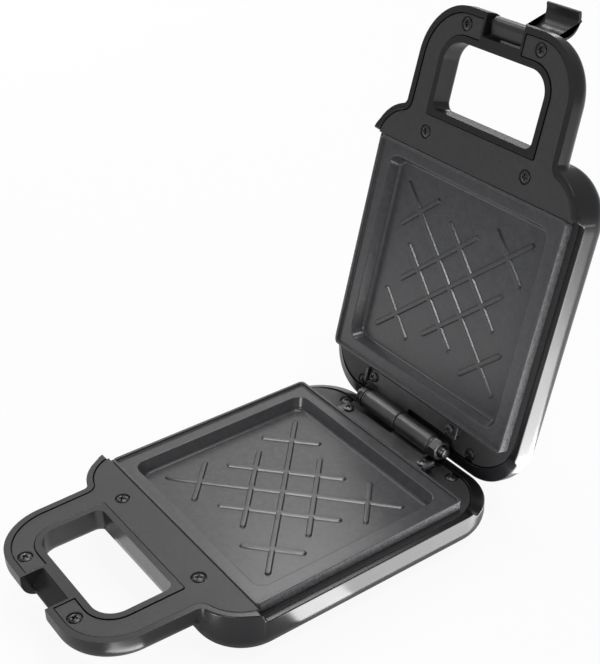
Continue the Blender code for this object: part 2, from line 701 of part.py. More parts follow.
def make_plate(name):
    slab_outline = rounded_rectangle(HALF_PLATE, PLATE_FRONT, PLATE_REAR, PLATE_CORNER, PLATE_CORNER,
                                     SMALL_ROUND_STEPS)
    plate = prism(name, slab_outline, -SKIRT_HEIGHT, 0)
    pan = rounded_rectangle(PAN_X, -PAN_Y, PAN_Y, TRAY_CORNER, TRAY_CORNER, SMALL_CORNER_STEPS)
    plate = join(plate, rounded_solid("pan", pan, -SKIRT_HEIGHT + OVERRUN, PAN_BOTTOM, PLATE_WALL,
                                      SMALL_ROUND_STEPS))
    posts = [post("post", x, y, POST_BOTTOM, PAN_BOTTOM + OVERRUN, POST_RADIUS)
             for x, y in plate_screw_places()]
    plate = join(plate, *posts)
    recess = prism("rim", grown(slab_outline, -LIP_WIDTH), -LIP_HEIGHT, OVERRUN)
    mouth = rounded_rectangle(MOUTH_X, -MOUTH_Y, MOUTH_Y, CAVITY_CORNER, CAVITY_CORNER, SMALL_CORNER_STEPS)
    rings = [level(mouth, OVERRUN), level(mouth, -LIP_HEIGHT)]
    wall_height = CAVITY_DEPTH - LIP_HEIGHT
    fillet_draft = CAVITY_DRAFT * CAVITY_FILLET / wall_height
    for index in range(SMALL_ROUND_STEPS + 1):
        angle = math.pi / 2 * index / SMALL_ROUND_STEPS
        inset = CAVITY_DRAFT - fillet_draft + CAVITY_FILLET * (1 - math.cos(angle))
        rings.append(level(grown(mouth, -inset), -CAVITY_DEPTH + CAVITY_FILLET * (1 - math.sin(angle))))
    plate = cut(plate, recess, loft("cavity", rings))
    plate = join(plate, *(rib("rib", *line) for line in rib_lines()))
    holes = [post("hole", x, y, POST_BOTTOM - OVERRUN, POST_BOTTOM + PLATE_SCREW_LENGTH,
                  SHANK_RADIUS + SCREW_GAP, SCREW_SIDES) for x, y in plate_screw_places()]
    return cut(plate, *holes)


def plate_screw_places():
    return [(sx * (FLOOR_X - POST_INSET), sy * (FLOOR_Y - POST_INSET)) for sx in (-1, 1) for sy in (-1, 1)]


def make_tray(name):
    """Sheet reflector whose flange lies under the frame's ledge."""
    outer_x, outer_y = OPENING_X + SHEET, OPENING_Y + SHEET
    bowl = rounded_rectangle(outer_x, -outer_y, outer_y, TRAY_CORNER + SHEET, TRAY_CORNER + SHEET,
                             SMALL_CORNER_STEPS)
    flange = grown(bowl, TRAY_FLANGE)
    tray = join(prism(name, flange, TRAY_TOP - SHEET, TRAY_TOP),
                prism("bowl", bowl, TRAY_FLOOR - SHEET, TRAY_TOP - SHEET / 2))
    cutters = [prism("bowl_inside", grown(bowl, -SHEET), TRAY_FLOOR, OVERRUN)]
    for x, y in plate_screw_places():
        cutters.append(post("hole", x, y, -BODY_DEPTH, 0, SHANK_RADIUS + SCREW_GAP, SCREW_SIDES))
    for side in (-1, 1):
        leg = post("leg_hole", 0, 0, 0, 2 * TRAY_FLANGE, ELEMENT_RADIUS + GAP)
        leg.data.transform(Matrix.Translation((side * ELEMENT_SPREAD, OPENING_Y - TRAY_FLANGE, ELEMENT_Z))
                           @ Matrix.Rotation(-math.pi / 2, 4, "X"))
        cutters.append(leg)
    return cut(tray, *cutters)


def element_end():
    return OPENING_Y + SHEET + ELEMENT_END


def make_element(name):
    """U-shaped tubular heater pressed against the plate's underside."""
    right = [(ELEMENT_SPREAD, element_end())]
    right += arc((ELEMENT_SPREAD - ELEMENT_BEND, -ELEMENT_FRONT + ELEMENT_BEND), (ELEMENT_BEND, ELEMENT_BEND),
                 0, -90, SMALL_CORNER_STEPS)
    return tube(name, level(both_sides(right), ELEMENT_Z), ELEMENT_RADIUS)


def make_thermostat(name):
    top, radius = PAN_BOTTOM - GAP, THERMOSTAT_RADIUS
    profile = [(0, 0), (radius, 0), (radius, -THERMOSTAT_STEP), (radius - THERMOSTAT_STEP, -THERMOSTAT_STEP),
               (radius - THERMOSTAT_STEP, -THERMOSTAT_HEIGHT), (0, -THERMOSTAT_HEIGHT)]
    return moved(turned(name, profile, POST_SIDES), (0, THERMOSTAT_BACK, top))


def fuse_y():
    return OPENING_Y + SHEET + GAP + FUSE_RADIUS


def make_fuse(name):
    """Fuse in its sleeve, clipped along the tray's rear wall."""
    half, tip = FUSE_LENGTH / 2, FUSE_LENGTH / 2 - FUSE_TIP
    profile = [(0, half), (LEAD_RADIUS, half), (FUSE_RADIUS, tip), (FUSE_RADIUS, -tip), (LEAD_RADIUS, -half),
               (0, -half)]
    return moved(turned(name, profile, SCREW_SIDES), (FUSE_X, fuse_y(), ELEMENT_Z), "X")


def terminal_front():
    """The block stands on the flat floor in front of the rear rounding."""
    return REAR - BODY_ROUNDING - TERMINAL_DEPTH


def make_terminal_block(name):
    low = BODY_FLOOR + GAP
    front = terminal_front()
    terminal = block(name, (-TERMINAL_WIDTH / 2, front, low),
                     (TERMINAL_WIDTH / 2, front + TERMINAL_DEPTH, low + TERMINAL_HEIGHT))
    wells = [post("well", x * TERMINAL_PITCH, front + TERMINAL_DEPTH / 2, low + TERMINAL_HEIGHT / 2, 0,
                  TERMINAL_SCREW_RADIUS, SCREW_SIDES) for x in (-1, 0, 1)]
    return cut(terminal, *wells)


def base_leads():
    """Element to fuse, fuse to terminals, terminals to element."""
    z, end = ELEMENT_Z, element_end() + GAP
    fuse_end, front = FUSE_LENGTH / 2 + GAP, terminal_front() - GAP
    clear, lane = 2 * LEAD_RADIUS, end + LEAD_RADIUS
    low = BODY_FLOOR + TERMINAL_HEIGHT / 2
    entry, side = TERMINAL_PITCH, TERMINAL_WIDTH / 2 + GAP
    fuse_left, fuse_right = FUSE_X - fuse_end, FUSE_X + fuse_end
    leg, middle = ELEMENT_SPREAD, (fuse_right + entry) / 2
    to_fuse = [(-leg, end, z), (-leg, lane, z), (clear - leg, end + clear, z),
               (2 * clear - leg, end + clear, z), (fuse_left - 2 * clear, fuse_y(), z),
               (fuse_left, fuse_y(), z)]
    from_fuse = [(fuse_right, fuse_y(), z), (fuse_right + clear, fuse_y(), z),
                 (middle, fuse_y(), (low + z) / 2), (entry - clear, fuse_y(), low),
                 (entry, fuse_y() + clear, low), (entry, front - clear, low), (entry, front, low)]
    back = terminal_front() + TERMINAL_DEPTH / 2
    turn, corner = side + 3 * clear, LEAF_SCREW_SPREAD - BOSS_RADIUS - clear
    to_element = [(side, back, low), (side + clear, back, low), (turn, back - clear, low),
                  ((turn + corner) / 2, (back + lane) / 2, low), (corner, lane, low),
                  (LEAF_SCREW_SPREAD, lane, (low + z) / 2),
                  (leg - clear, end + clear, z), (leg, lane, z), (leg, end, z)]
    routes = {"lead_element_to_fuse": to_fuse, "lead_fuse_to_terminals": from_fuse,
              "lead_terminals_to_element": to_element}
    for name, route in routes.items():
        yield name, tube(name, smooth_route(route), LEAD_RADIUS, 1), "lead_sleeve"


def lid_leads():
    """From each end of the element along the housing's side to the lamps."""
    z, end = ELEMENT_Z, element_end() + GAP
    run = (OPENING_X + SHEET + SIDE - WALL) / 2
    corner_x, corner_y = OPENING_X - TRAY_CORNER, OPENING_Y - TRAY_CORNER
    bend = (run - corner_x) * math.cos(math.radians(45))
    holder = LAMP_SPREAD + LAMP_RADIUS + LAMP_FLANGE + GAP
    clear = 2 * LEAD_RADIUS
    for side, name in ((1, "lamp_lead_left"), (-1, "lamp_lead_right")):
        route = [(ELEMENT_SPREAD, end, z), (ELEMENT_SPREAD, end + LEAD_RADIUS, z),
                 (ELEMENT_SPREAD + clear, end + clear, z), (corner_x, corner_y + run - corner_x, z),
                 (corner_x + bend, corner_y + bend, z), (run, corner_y, z), (run, -corner_y, z),
                 (corner_x + bend, -corner_y - bend, z), (corner_x, LAMP_Y, lamp_holder_z()),
                 (holder + 4 * clear, LAMP_Y, lamp_holder_z()), (holder + clear, LAMP_Y, lamp_holder_z()),
                 (holder, LAMP_Y, lamp_holder_z())]
        route = smooth_route([(side * x, y, height) for x, y, height in route])
        yield name, tube(name, route, LEAD_RADIUS, 1), "lead_sleeve"


# Fasteners

def screw(x, y, seat, length, turn="Z"):
    """Pan head with a plain shank."""
    profile = [(0, HEAD_HEIGHT), (HEAD_RADIUS, HEAD_HEIGHT - HEAD_CROWN), (HEAD_RADIUS, GAP),
               (SHANK_RADIUS, GAP), (SHANK_RADIUS, -length + GAP), (0, -length + GAP)]
    return moved(turned("screw", profile, SCREW_SIDES), (x, y, seat), turn)


def half_screws(half):
    """Every screw of one half, with its name and finish."""
    names = ("right", "left") if half == "lid" else ("left", "right")
    rows = ("grip", "grip", "neck", "neck", "rear", "rear")
    for (x, y, top), place in zip(screw_places(FRAME_SCREWS), rows):
        name = f"{half}_{place}_screw_{names[x > 0]}"
        yield name, screw(x, y, top - RECESS_DEPTH, SCREW_LENGTH), "blackened_screw"
    for side, name in zip((-1, 1), names):
        yield (f"{half}_hinge_screw_{name}",
               screw(side * LEAF_SCREW_SPREAD, LEAF_SCREW_Y, LEAF_TOP, SCREW_LENGTH), "dark_steel")
    for number, (x, y) in enumerate(plate_screw_places(), 1):
        yield (f"{half}_plate_screw_{number}", screw(x, y, TRAY_FLOOR - SHEET, PLATE_SCREW_LENGTH, "-Z"),
               "tray_steel")


# Hinge

def make_leaf(name):
    """Pressed leaf with one rolled knuckle on the right, its free edge on the left."""
    rear = LEAF_FRONT + LEAF_DEPTH
    outline = [(-LEAF_HALF_WIDTH, LEAF_FRONT), (LEAF_HALF_WIDTH, LEAF_FRONT), (LEAF_HALF_WIDTH, rear),
               (BARREL_LENGTH, rear), (BARREL_LENGTH, AXIS_Y), (BARREL_SEAM, AXIS_Y), (BARREL_SEAM, rear),
               (-LEAF_HALF_WIDTH, rear)]
    leaf = prism(name, outline, LEAF_BOTTOM, LEAF_TOP)
    tab = block("tab", (LEAF_HALF_WIDTH - LEAF_THICKNESS, LEAF_FRONT, LEAF_TOP - OVERRUN),
                (LEAF_HALF_WIDTH, rear, LEAF_TOP + LEAF_TAB_HEIGHT))
    knuckle = rod("knuckle", BARREL_SEAM, BARREL_LENGTH, AXIS_Y, AXIS_HEIGHT, BARREL_RADIUS)
    leaf = join(leaf, tab, knuckle)
    bore = rod("bore", BARREL_SEAM - OVERRUN, BARREL_LENGTH + OVERRUN, AXIS_Y, AXIS_HEIGHT,
               BOLT_RADIUS + RUNNING_GAP)
    holes = [post("hole", side * LEAF_SCREW_SPREAD, LEAF_SCREW_Y, LEAF_BOTTOM - OVERRUN, LEAF_TOP + OVERRUN,
                  SHANK_RADIUS + SCREW_GAP, SCREW_SIDES) for side in (-1, 1)]
    return cut(leaf, bore, *holes)


def make_bolt(name):
    """Hinge bolt: ringed round head on the left, thread end past the nut on the right."""
    head, tip = NUT_START, NUT_START + NUT_HEIGHT + BOLT_END
    ring = BOLT_HEAD_HEIGHT / 4
    profile = [(0, tip), (BOLT_RADIUS, tip), (BOLT_RADIUS, -head), (BOLT_HEAD_RADIUS, -head),
               (BOLT_HEAD_RADIUS, -head - 3 * ring), (BOLT_HEAD_RADIUS - ring, -head - BOLT_HEAD_HEIGHT),
               (0, -head - BOLT_HEAD_HEIGHT)]
    return moved(turned(name, profile, BARREL_SIDES), (0, AXIS_Y, AXIS_HEIGHT), "X")


def make_washer(name, side):
    left, right = sorted((side * WASHER_START, side * (WASHER_START + WASHER_THICKNESS)))
    washer = rod(name, left, right, AXIS_Y, AXIS_HEIGHT, WASHER_RADIUS)
    return cut(washer, rod("bore", left - OVERRUN, right + OVERRUN, AXIS_Y, AXIS_HEIGHT, BOLT_RADIUS + GAP))


def make_nut(name):
    left, right = NUT_START, NUT_START + NUT_HEIGHT
    nut = rod(name, left, right, AXIS_Y, AXIS_HEIGHT, NUT_RADIUS, 6)
    return cut(nut, rod("bore", left - OVERRUN, right + OVERRUN, AXIS_Y, AXIS_HEIGHT, BOLT_RADIUS + GAP))


# Latch

def make_latch_pin(name):
    return rod(name, -HALF_SLOT - PIN_SEAT, HALF_SLOT + PIN_SEAT, PIN_Y, -PIN_DROP, PIN_RADIUS, SCREW_SIDES)


def make_latch_clip(name):
    """Clip in its shut place on the lid: root round the pin, toothed plate, and a curled finger end."""
    inner = HANDLE_FRONT - CLIP_STANDOFF
    outer = inner - CLIP_THICKNESS
    catch = 2 * AXIS_HEIGHT + BAR_DROP + BAR_RADIUS + GAP
    root_top, root_low = -PIN_DROP + CLIP_ROOT_RADIUS, -PIN_DROP - CLIP_ROOT_RADIUS
    curl = (inner + CLIP_CURL_RADIUS, CLIP_REACH - PIN_DROP)
    reach = CLIP_CURL_RADIUS + CLIP_THICKNESS
    profile = [(PIN_Y, root_low), (outer + CLIP_THICKNESS, root_low), (outer, root_low + CLIP_THICKNESS)]
    profile += arc(curl, (reach, reach), 180, CLIP_RIDGE_PLACE + CLIP_RIDGE_HALF, CORNER_STEPS)
    profile += arc(curl, (reach + CLIP_RIDGE, reach + CLIP_RIDGE), CLIP_RIDGE_PLACE, CLIP_RIDGE_PLACE, 1)[:1]
    profile += arc(curl, (reach, reach), CLIP_RIDGE_PLACE - CLIP_RIDGE_HALF, CLIP_CURL_END, SMALL_ROUND_STEPS)
    profile += arc(curl, (CLIP_CURL_RADIUS, CLIP_CURL_RADIUS), CLIP_CURL_END, 180, CORNER_STEPS)
    profile += [(inner, catch + CLIP_TOOTH_LENGTH), (inner + CLIP_TOOTH_REACH, catch + CLIP_TOOTH_FLAT),
                (inner + CLIP_TOOTH_REACH, catch), (inner, catch), (inner, root_top), (PIN_Y, root_top)]
    half = CLIP_WIDTH / 2
    clip = side_prism(name, profile, -half, half)
    clip = join(clip, rod("root", -half, half, PIN_Y, -PIN_DROP, CLIP_ROOT_RADIUS, POST_SIDES))
    return cut(clip, rod("bore", -half - OVERRUN, half + OVERRUN, PIN_Y, -PIN_DROP, PIN_RADIUS + RUNNING_GAP,
                         SCREW_SIDES))


# Feet, gland, lamps

def foot_places():
    front, rear = PLATE_FRONT + FOOT_FRONT_INSET, REAR - FOOT_REAR_INSET
    return [(-FOOT_SPREAD, front), (FOOT_SPREAD, front), (-FOOT_SPREAD, rear), (FOOT_SPREAD, rear)]


def make_foot(name, x, y):
    top, radius = FOOT_HEIGHT - GAP, FOOT_RADIUS
    profile = [(0, top + FLOOR), (FOOT_SPIGOT, top + FLOOR), (FOOT_SPIGOT, top), (radius, top),
               (radius, FOOT_TAPER), (radius - FOOT_TAPER, 0), (0, 0)]
    return moved(turned(name, profile, POST_SIDES), (x, y, GROUND))


def gland_place():
    """Local Z points out of the rear wall."""
    return (Matrix.Translation((-GLAND_SPREAD, REAR, -GLAND_DROP)) @ Matrix.Rotation(-math.pi / 2, 4, "X"))


def make_gland(name):
    flange_top = GLAND_FLANGE_THICKNESS + GAP
    profile = [(GLAND_BORE, flange_top), (GLAND_FLANGE - GAP, flange_top), (GLAND_FLANGE, GAP + GAP),
               (GLAND_FLANGE, GAP), (GLAND_RADIUS, GAP), (GLAND_RADIUS, -WALL - OVERRUN),
               (GLAND_BORE, -WALL - OVERRUN), (GLAND_BORE, flange_top)]
    gland = turned(name, profile, POST_SIDES)
    gland.data.transform(gland_place())
    return gland


def make_lens(name, side):
    """Lamp lens through the lid's outer wall, its flange inside."""
    radius, flange = LAMP_RADIUS, LAMP_RADIUS + LAMP_FLANGE
    profile = [(0, GAP + LAMP_FLANGE), (flange, GAP + LAMP_FLANGE), (flange, GAP), (radius, GAP),
               (radius, -FLOOR), (radius * 3 / 4, -FLOOR - LAMP_PROUD * 3 / 4), (0, -FLOOR - LAMP_PROUD)]
    return moved(turned(name, profile, POST_SIDES), (side * LAMP_SPREAD, LAMP_Y, BODY_FLOOR))


def lamp_holder_z():
    return BODY_FLOOR + LAMP_FLANGE + 2 * GAP + LAMP_HOLDER_HEIGHT / 2


def make_lamp_holder(name):
    half = LAMP_SPREAD + LAMP_RADIUS + LAMP_FLANGE
    low = BODY_FLOOR + LAMP_FLANGE + 2 * GAP
    return block(name, (-half, LAMP_Y - LAMP_HOLDER_DEPTH / 2, low),
                 (half, LAMP_Y + LAMP_HOLDER_DEPTH / 2, low + LAMP_HOLDER_HEIGHT))


# Assembly

def add_empty(name, place, parent=None):
    empty = bpy.data.objects.new(name, None)
    bpy.data.collections["toastie_maker"].objects.link(empty)
    empty.location = place
    if parent:
        empty.parent = parent
    return empty


def finish_part(obj, name, finish, pivot, pivot_place, half_to_world):
    """Give a solid its name, finish and place, and hang it on its body's empty."""
    bpy.data.collections["cutters"].objects.unlink(obj)
    bpy.data.collections["toastie_maker"].objects.link(obj)
    obj.display_type = "SOLID"
    obj.hide_render = False
    obj.name = name
    obj.data.name = name
    obj.data.transform(Matrix.Translation(-pivot_place) @ half_to_world)
    obj.data.materials.clear()
    obj.data.materials.append(make_finish(finish))
    obj.data.shade_smooth()
    obj.data.set_sharp_from_angle(angle=math.radians(32))
    obj.parent = pivot


def base_parts():
    yield "base_housing", make_housing("base_housing", False), "gloss_black"
    yield "base_inner_frame", make_inner_frame("base_inner_frame"), "satin_black"
    yield "base_plate", make_plate("base_plate"), "nonstick"
    yield "base_reflector", make_tray("base_reflector"), "tray_steel"
    yield "base_heating_element", make_element("base_heating_element"), "element_steel"
    yield "base_thermostat", make_thermostat("base_thermostat"), "ceramic"
    yield "thermal_fuse", make_fuse("thermal_fuse"), "ceramic"
    yield "terminal_block", make_terminal_block("terminal_block"), "ceramic"
    yield from base_leads()
    yield "base_hinge_leaf", make_leaf("base_hinge_leaf"), "dark_steel"
    yield from half_screws("base")
    yield "hinge_bolt", make_bolt("hinge_bolt"), "dark_steel"
    yield "hinge_washer_left", make_washer("hinge_washer_left", -1), "dark_steel"
    yield "hinge_washer_right", make_washer("hinge_washer_right", 1), "dark_steel"
    yield "hinge_nut", make_nut("hinge_nut"), "dark_steel"
    yield "cord_gland", make_gland("cord_gland"), "foot_rubber"
    for corner, (x, y) in zip(("front_left", "front_right", "rear_left", "rear_right"), foot_places()):
        yield "foot_" + corner, make_foot("foot", x, y), "foot_rubber"


def lid_parts():
    yield "lid_housing", make_housing("lid_housing", True), "gloss_black"
    yield "lid_inner_frame", make_inner_frame("lid_inner_frame"), "satin_black"
    yield "lid_plate", make_plate("lid_plate"), "nonstick"
    yield "lid_reflector", make_tray("lid_reflector"), "tray_steel"
    yield "lid_heating_element", make_element("lid_heating_element"), "element_steel"
    yield "lid_thermal_cutout", make_thermostat("lid_thermal_cutout"), "ceramic"
    yield from lid_leads()
    yield "lid_hinge_leaf", make_leaf("lid_hinge_leaf"), "dark_steel"
    yield from half_screws("lid")
    yield "latch_pin", make_latch_pin("latch_pin"), "dark_steel"
    yield "power_lamp_lens", make_lens("power_lamp_lens", -1), "red_lens"
    yield "ready_lamp_lens", make_lens("ready_lamp_lens", 1), "green_lens"
    yield "lamp_holder", make_lamp_holder("lamp_holder"), "ceramic"


def build():
    clear_scene()
    new_collection("toastie_maker")
    new_collection("cutters")
    lip_height = -GROUND
    axis = Vector((0, AXIS_Y, AXIS_HEIGHT + lip_height))
    base_place = Matrix.Translation((0, 0, lip_height))
    opening = Matrix.Translation(axis) @ Matrix.Rotation(-OPEN_ANGLE, 4, "X") @ Matrix.Translation(-axis)
    closed_lid = Matrix.Translation((0, 0, lip_height + 2 * AXIS_HEIGHT)) @ Matrix.Rotation(math.pi, 4, "Y")
    lid_place = opening @ closed_lid
    pin = Vector((0, PIN_Y, -PIN_DROP))
    clip_turn = Matrix.Translation(pin) @ Matrix.Rotation(CLIP_OPEN_ANGLE, 4, "X") @ Matrix.Translation(-pin)
    pin_world = lid_place @ pin

    root = add_empty("toastie_maker_origin", (0, 0, 0))
    hinge = add_empty("lid_hinge_axis", axis, root)
    latch = add_empty("latch_axis", pin_world - axis, hinge)
    for name, solid, finish in list(base_parts()):
        finish_part(solid, name, finish, root, Vector((0, 0, 0)), base_place)
    for name, solid, finish in list(lid_parts()):
        finish_part(solid, name, finish, hinge, axis, lid_place)
    clip = make_latch_clip("latch_clip")
    finish_part(clip, "latch_clip", "gloss_black", latch, pin_world, lid_place @ clip_turn)
    centre_on_origin(root)
    bpy.context.view_layer.update()
    print("lid hinge axis at", tuple(round(value, 6) for value in hinge.matrix_world.translation))
    print("latch axis at", tuple(round(value, 6) for value in latch.matrix_world.translation))


def centre_on_origin(root):
    """Stand the object on Z = 0 with the middle of its footprint at the origin."""
    bpy.context.view_layer.update()
    corners = [obj.matrix_world @ vertex.co for obj in bpy.data.collections["toastie_maker"].objects
               if obj.type == "MESH" for vertex in obj.data.vertices]
    low = [min(corner[i] for corner in corners) for i in range(3)]
    high = [max(corner[i] for corner in corners) for i in range(3)]
    root.location = (-(low[0] + high[0]) / 2, -(low[1] + high[1]) / 2, -low[2])


build()
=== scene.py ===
import json
import math

import bpy
import numpy as np
from mathutils import Matrix


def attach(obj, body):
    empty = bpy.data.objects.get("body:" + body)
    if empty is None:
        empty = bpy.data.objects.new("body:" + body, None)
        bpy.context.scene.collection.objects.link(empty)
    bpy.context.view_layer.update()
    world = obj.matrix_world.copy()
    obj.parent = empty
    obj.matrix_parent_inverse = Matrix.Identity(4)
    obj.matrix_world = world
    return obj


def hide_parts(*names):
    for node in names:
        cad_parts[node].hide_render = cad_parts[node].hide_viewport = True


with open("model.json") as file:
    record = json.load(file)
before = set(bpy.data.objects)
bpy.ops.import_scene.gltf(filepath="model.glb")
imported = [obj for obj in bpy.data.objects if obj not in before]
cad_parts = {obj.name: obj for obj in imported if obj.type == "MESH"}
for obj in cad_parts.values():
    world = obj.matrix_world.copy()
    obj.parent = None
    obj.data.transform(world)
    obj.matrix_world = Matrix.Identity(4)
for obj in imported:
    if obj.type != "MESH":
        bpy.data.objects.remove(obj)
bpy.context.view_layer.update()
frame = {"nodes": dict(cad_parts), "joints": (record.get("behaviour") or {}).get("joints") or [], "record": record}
nodes = frame["nodes"]
joints = {joint["name"]: joint for joint in frame["joints"]}
print("frame loaded:", len(nodes), "nodes")

# Every table below is in millimetres, in the frame of one half: plate's centre in X and Y,
# the raised lip's plane at Z = 0, the half's body below it. The lid is the same half turned over.
mm = 0.001
hinge = {"axisY": 74.81, "axisZ": 2.4, "openAngle": 105.0}
latch = {"pinY": -129.6, "pinZ": -5.8, "openAngle": 168.5}
over = 2.0      # how far a cutter runs past a face

scene = bpy.context.scene


# Placing

def turnX(points, degrees, centre):
    # rotation about a line along X through centre: y cos - z sin, y sin + z cos
    angle = math.radians(degrees)
    x, y, z = (points - centre).T
    return np.stack([x, y * math.cos(angle) - z * math.sin(angle),
                     y * math.sin(angle) + z * math.cos(angle)], axis=1) + centre


hingeLine = np.array([0.0, hinge["axisY"], hinge["axisZ"]])
pinLine = np.array([0.0, latch["pinY"], latch["pinZ"]])
hingePlace = np.array(joints["lid_hinge"]["pos_m"])


def onBase(points):
    # millimetres from the hinge line become metres from the frame's hinge
    return (points - hingeLine) * mm + hingePlace


def onLid(points):
    # half turn about Y over the lip's plane, then the opening turn about the hinge
    flipped = points * (-1.0, 1.0, -1.0) + (0.0, 0.0, 2 * hinge["axisZ"])
    return onBase(turnX(flipped, -hinge["openAngle"], hingeLine))


def onLatch(points):
    # the clip is drawn shut and turned open about its pin
    return onLid(turnX(points, latch["openAngle"], pinLine))


places = {"base": onBase, "lid": onLid, "latch": onLatch}


# Shells: a shell is (points, faces); every one is closed and faces outwards

def fanVolume(corners):
    # six times the volume between the origin and a fan of triangles over the corners
    first, rest = corners[:1], corners[1:]
    return float((first * np.cross(rest[:-1], rest[1:])).sum())


def rings(stack, endless=False):
    # closed shell through rings of equally many points: quads between neighbours and a cap at each end,
    # or endless with the last ring joined to the first; the sign of its volume turns the faces outwards
    stack = np.asarray(stack, float)
    count, around = stack.shape[:2]
    index = np.arange(count * around).reshape(count, around)
    rows = index if endless else index[:-1]
    after = np.roll(index, -1, axis=0) if endless else index[1:]
    quads = np.stack([rows, np.roll(rows, -1, axis=1), np.roll(after, -1, axis=1), after], axis=-1).reshape(-1, 4)
    points = stack.reshape(-1, 3)
    corner = points[quads]
    volume = (corner[:, 0] * (np.cross(corner[:, 1], corner[:, 2]) + np.cross(corner[:, 2], corner[:, 3]))).sum()
    caps = [] if endless else [index[0][::-1], index[-1]]
    volume += sum(fanVolume(points[cap]) for cap in caps)
    faces = quads.tolist() + [cap.tolist() for cap in caps]
    return points, faces if volume > 0 else [face[::-1] for face in faces]


def together(*shells):
    # several shells as one, the later ones' face numbers moved up
    points, faces, start = [], [], 0
    for shellPoints, shellFaces in shells:
        points.append(shellPoints)
        faces += [[i + start for i in face] for face in shellFaces]
        start += len(shellPoints)
    return np.concatenate(points), faces


def pair(make):
    # a left and a right shell as one: make takes the side, -1 or 1
    return together(*[make(side) for side in (-1, 1)])


def level(outline, height):
    # the outline at a height, or at one height for each point
    outline = np.asarray(outline, float)
    heights = np.broadcast_to(np.asarray(height, float), len(outline))
    return np.stack([outline[:, 0], outline[:, 1], heights], axis=1)


def bend(count):
    # rounding of an edge: 1 - cos and 1 - sin of evenly spaced angles over a quarter turn
    return [(1 - math.cos(a), 1 - math.sin(a)) for a in np.linspace(0, math.pi / 2, count)]


def onCircle(centre, radius, degrees):
    # centre + radius (cos, sin) at each of the angles
    angle = np.radians(degrees)
    return centre + radius * np.stack([np.cos(angle), np.sin(angle)], axis=1)


def arc(centre, radius, start, end, steps):
    # centre + radius (cos t, sin t), t running evenly from start to end; two radii give part of an ellipse
    return onCircle(np.array(centre, float), np.array(radius, float), np.linspace(start, end, steps + 1))


def bothSides(right):
    # an outline from its right half
    return np.concatenate([right, (right * (-1.0, 1.0))[::-1]])


def grown(outline, distance):
    # outline moved out along its own normals, each lengthened by the cosine at its corner
    outline = np.asarray(outline, float)
    after = np.roll(outline, -1, axis=0)
    turn = 1.0 if (outline[:, 0] * after[:, 1] - after[:, 0] * outline[:, 1]).sum() > 0 else -1.0
    along = after - outline
    along /= np.linalg.norm(along, axis=1)[:, None]
    ahead = np.stack([along[:, 1], -along[:, 0]], axis=1) * turn
    middle = ahead + np.roll(ahead, 1, axis=0)
    middle /= np.linalg.norm(middle, axis=1)[:, None]
    return outline + middle * distance / (middle * ahead).sum(axis=1)[:, None]


def roundedBox(halfX, front, rear, frontRadius, rearRadius, steps):
    # rectangle whose rear and front corners are quarter circles
    return bothSides(np.concatenate([arc((halfX - rearRadius, rear - rearRadius), rearRadius, 90, 0, steps),
                                     arc((halfX - frontRadius, front + frontRadius), frontRadius, 0, -90, steps)]))


def roundedSlab(outline, low, high, topRadius, lowRadius, steps=3):
    # prism whose lower and upper edges are quarter circles: the outline shrinks as the height nears an end
    stack = [level(grown(outline, -lowRadius * s), low + lowRadius * c) for c, s in bend(steps + 1)]
    stack += [level(grown(outline, -topRadius * c), high - topRadius * s) for c, s in bend(steps + 1)]
    return rings(stack)


def boxShell(low, high, corner, edge=0.0):
    # block with quarter-circle upright corners, its upper and lower edges rounded where edge is set
    corners = ((low[0] + corner, low[1] + corner, 180), (high[0] - corner, low[1] + corner, 270),
               (high[0] - corner, high[1] - corner, 0), (low[0] + corner, high[1] - corner, 90))
    outline = np.concatenate([arc((x, y), corner, start, start + 90, 5) for x, y, start in corners])
    if edge:
        return roundedSlab(outline, low[2], high[2], edge, edge)
    return rings([level(outline, low[2]), level(outline, high[2])])


def revolved(profile, sides, place):
    # profile of (radius, height) turned about Z: (r cos t, r sin t, z); a zero radius closes on a tiny ring
    profile, tiny = np.asarray(profile, float), 0.01
    angle = np.linspace(0, 2 * math.pi, sides, endpoint=False)
    radius = np.maximum(profile[:, 0], tiny)[:, None]
    stack = np.stack([radius * np.cos(angle), radius * np.sin(angle),
                      np.broadcast_to(profile[:, 1:2], (len(profile), sides))], axis=2)
    endless = profile[0, 0] > tiny and np.allclose(profile[0], profile[-1])
    points, faces = rings(stack[:-1] if endless else stack, endless)
    return place(points), faces


def at(x, y, z):
    # a shift
    return lambda points: points + (x, y, z)


def alongX(y, z):
    # quarter turn about Y, which takes local Z to X, then a shift
    return lambda points: np.stack([points[:, 2], points[:, 1], -points[:, 0]], axis=1) + (0, y, z)


def meshObject(name, shell):
    # a shell as an object in the scene
    mesh = bpy.data.meshes.new(name)
    mesh.from_pydata(shell[0].tolist(), [], shell[1])
    mesh.validate()
    thing = bpy.data.objects.new(name, mesh)
    scene.collection.objects.link(thing)
    return thing


def applied(thing):
    # the modifiers' result as plain points and faces
    bpy.context.view_layer.update()
    mesh = bpy.data.meshes.new_from_object(thing.evaluated_get(bpy.context.evaluated_depsgraph_get()))
    points = np.zeros(len(mesh.vertices) * 3)
    mesh.vertices.foreach_get("co", points)
    faces = [tuple(face.vertices) for face in mesh.polygons]
    bpy.data.objects.remove(thing)
    bpy.data.meshes.remove(mesh)
    return points.reshape(-1, 3), faces


def carved(shell, cutter, operation="DIFFERENCE"):
    # exact boolean: the shell less the cutter, or both joined
    target, tool = meshObject("target", shell), meshObject("tool", cutter)
    step = target.modifiers.new("Boolean", "BOOLEAN")
    step.operation, step.solver, step.object = operation, "EXACT", tool
    result = applied(target)
    bpy.data.objects.remove(tool)
    return result


